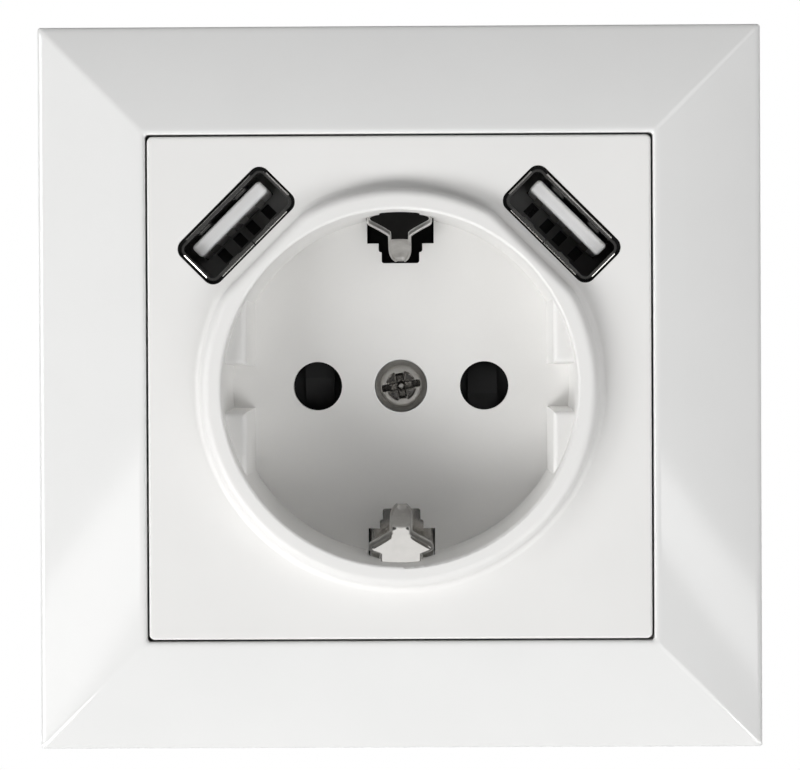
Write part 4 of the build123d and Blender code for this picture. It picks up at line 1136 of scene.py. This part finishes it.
@dataclass
class Studio:
    """Camera, lamps, a dim studio, a white backdrop and a pale floor well below the socket.

    The camera's eye and sensor are in millimetres, and all other lengths are in metres.
    """

    eye: Triple = (4.133, -400.112, 4.976)
    yaw_deg: float = -0.5994
    pitch_deg: float = -0.6879
    roll_deg: float = -0.2732
    focal_px: float = 3559.0
    sensor: float = 36.0
    clip: Pair = (0.01, 20.0)
    cloud: float = 3.0
    floor_z: float = -2.5
    floor_half: float = 6.0
    floor_tones: tuple[Colour, Colour] = ((0.78, 0.78, 0.77), (0.82, 0.82, 0.81))
    floor_rough: float = 0.8
    backdrop_y: float = 1.0
    backdrop_half: float = 4.0
    backdrop_tones: tuple[Colour, Colour] = ((0.84, 0.84, 0.84), (0.88, 0.88, 0.88))
    ambient: float = 0.08
    # The main lamps stand low on the left, weaker ones on the right, in front and above, and one behind the
    # socket. Two strips are mirrored in the bevels.
    lamps: tuple[Lamp, ...] = (
        Lamp("lamp_left_low", (-0.50, -0.71, -0.50), 3.95),
        Lamp("lamp_left_side", (-0.75, -0.50, -0.43), 2.6),
        Lamp("lamp_left_far", (-0.87, -0.50, 0.0), 2.2),
        Lamp("lamp_right_low", (0.50, -0.71, -0.50), 1.85),
        Lamp("lamp_right_side", (0.75, -0.50, -0.43), 1.95),
        Lamp("lamp_front_low", (0.35, -0.87, -0.35), 0.66),
        Lamp("lamp_front_high", (0.35, -0.87, 0.35), 0.56),
        Lamp("lamp_top", (-0.43, -0.50, 0.75), 0.35),
        Lamp("card_top", (0.0, -0.15, 0.57), 0.145, (0.26, 0.20)),
        Lamp("lamp_back", (0.45, 0.80, 0.45), 3.0, (0.5, 0.5)),
        Lamp("strip_left", (-0.637, -0.802, -0.095), 0.165, (0.37, 0.060), 10.5),
        Lamp("strip_right", (0.624, -0.813, -0.086), 0.126, (0.37, 0.034), -10.1),
    )

    def camera(self) -> None:
        """Sets the camera from its place, its turn and its focal length in pixels of the picture."""
        yaw, pitch, roll = (math.radians(a) for a in (self.yaw_deg, self.pitch_deg, self.roll_deg))
        ahead = Vector((math.sin(yaw) * math.cos(pitch), math.cos(yaw) * math.cos(pitch), math.sin(pitch)))
        level = Vector((math.cos(yaw), -math.sin(yaw), 0.0))
        upright = level.cross(ahead)
        right = level * math.cos(roll) + upright * math.sin(roll)
        up = upright * math.cos(roll) - level * math.sin(roll)
        data = bpy.data.cameras.new("view")
        data.sensor_width = self.sensor
        data.lens = self.focal_px * data.sensor_width / PICTURE[0]
        data.clip_start, data.clip_end = self.clip
        camera = bpy.data.objects.new("view", data)
        axes = Matrix((right, up, -ahead)).transposed().to_4x4()
        camera.matrix_world = Matrix.Translation(Vector(self.eye) * MM) @ axes
        bpy.context.scene.collection.objects.link(camera)
        bpy.context.scene.camera = camera

    def surroundings(self) -> None:
        """Lights the socket faintly and evenly from all round, as a dim studio does."""
        world = bpy.data.worlds.new("dim_studio")
        bpy.context.scene.world = world
        world.use_nodes = True
        light = next(node for node in world.node_tree.nodes if node.type == "BACKGROUND")
        light.inputs["Color"].default_value = (1, 1, 1, 1)
        light.inputs["Strength"].default_value = self.ambient

    def sheet(
        self, name: str, corners: list[Triple], finish: NodeSheet, tones: tuple[Colour, Colour]
    ) -> None:
        """Lays one flat sheet of the stage, in two tones that cloud into each other.

        Args:
            name: name of the sheet.
            corners: its four corners in metres.
            finish: node sheet of its material.
            tones: its darker and its lighter colour.
        """
        finish.tint(finish.noise(self.cloud, detail=3.0), *tones)
        mesh = bpy.data.meshes.new(name)
        mesh.from_pydata(corners, [], [(0, 1, 2, 3)])
        flat = bpy.data.objects.new(name, mesh)
        bpy.context.scene.collection.objects.link(flat)
        flat.data.materials.append(finish.material)

    def floor(self) -> None:
        """Lays a plain pale floor, well below the socket."""
        edge, low = self.floor_half, self.floor_z
        corners = [(-edge, -edge, low), (edge, -edge, low), (edge, edge, low), (-edge, edge, low)]
        finish = NodeSheet("floor_pale")
        finish.surface.inputs["Roughness"].default_value = self.floor_rough
        self.sheet("floor", corners, finish, self.floor_tones)

    def backdrop(self) -> None:
        """Hangs a white backdrop behind the socket, plain white to the camera and in mirrors and glass."""
        edge, far, low = self.backdrop_half, self.backdrop_y, self.floor_z
        corners = [(-edge, far, low), (edge, far, low), (edge, far, edge), (-edge, far, edge)]
        finish = NodeSheet("backdrop_white")
        white = finish.add("ShaderNodeEmission", {"Color": (1, 1, 1, 1), "Strength": 1.0})
        rays = finish.add("ShaderNodeLightPath").outputs
        mirrored = finish.larger(rays["Is Glossy Ray"], rays["Is Transmission Ray"])
        mix = finish.add("ShaderNodeMixShader")
        finish.join(finish.larger(rays["Is Camera Ray"], mirrored), mix.inputs["Fac"])
        finish.join(finish.surface.outputs["BSDF"], mix.inputs[1])
        finish.join(white.outputs["Emission"], mix.inputs[2])
        finish.join(mix.outputs["Shader"], finish.out.inputs["Surface"])
        self.sheet("backdrop", corners, finish, self.backdrop_tones)

    def build(self) -> None:
        """Builds the whole studio with the plain view transform."""
        self.camera()
        for lamp in self.lamps:
            lamp.build()
        self.surroundings()
        self.floor()
        self.backdrop()
        bpy.context.scene.view_settings.view_transform = "Standard"


def main() -> None:
    """Builds the socket's pieces and the studio."""
    logging.basicConfig(level=logging.INFO, format="%(name)s: %(message)s")
    finishes = Finishes()
    CoverFrame(finishes).build()
    CoverScrew(finishes).build()
    EarthStrap(finishes).build()
    SocketInsert(finishes).dress()
    for side in Side:
        port = ChargingPort(finishes, side)
        port.dress()
        port.surround()
        port.lips()
        port.blade()
    WallHardware(finishes).dress()
    ChargerWorks(finishes).dress()
    Studio().build()


if __name__ == "__main__":
    main()
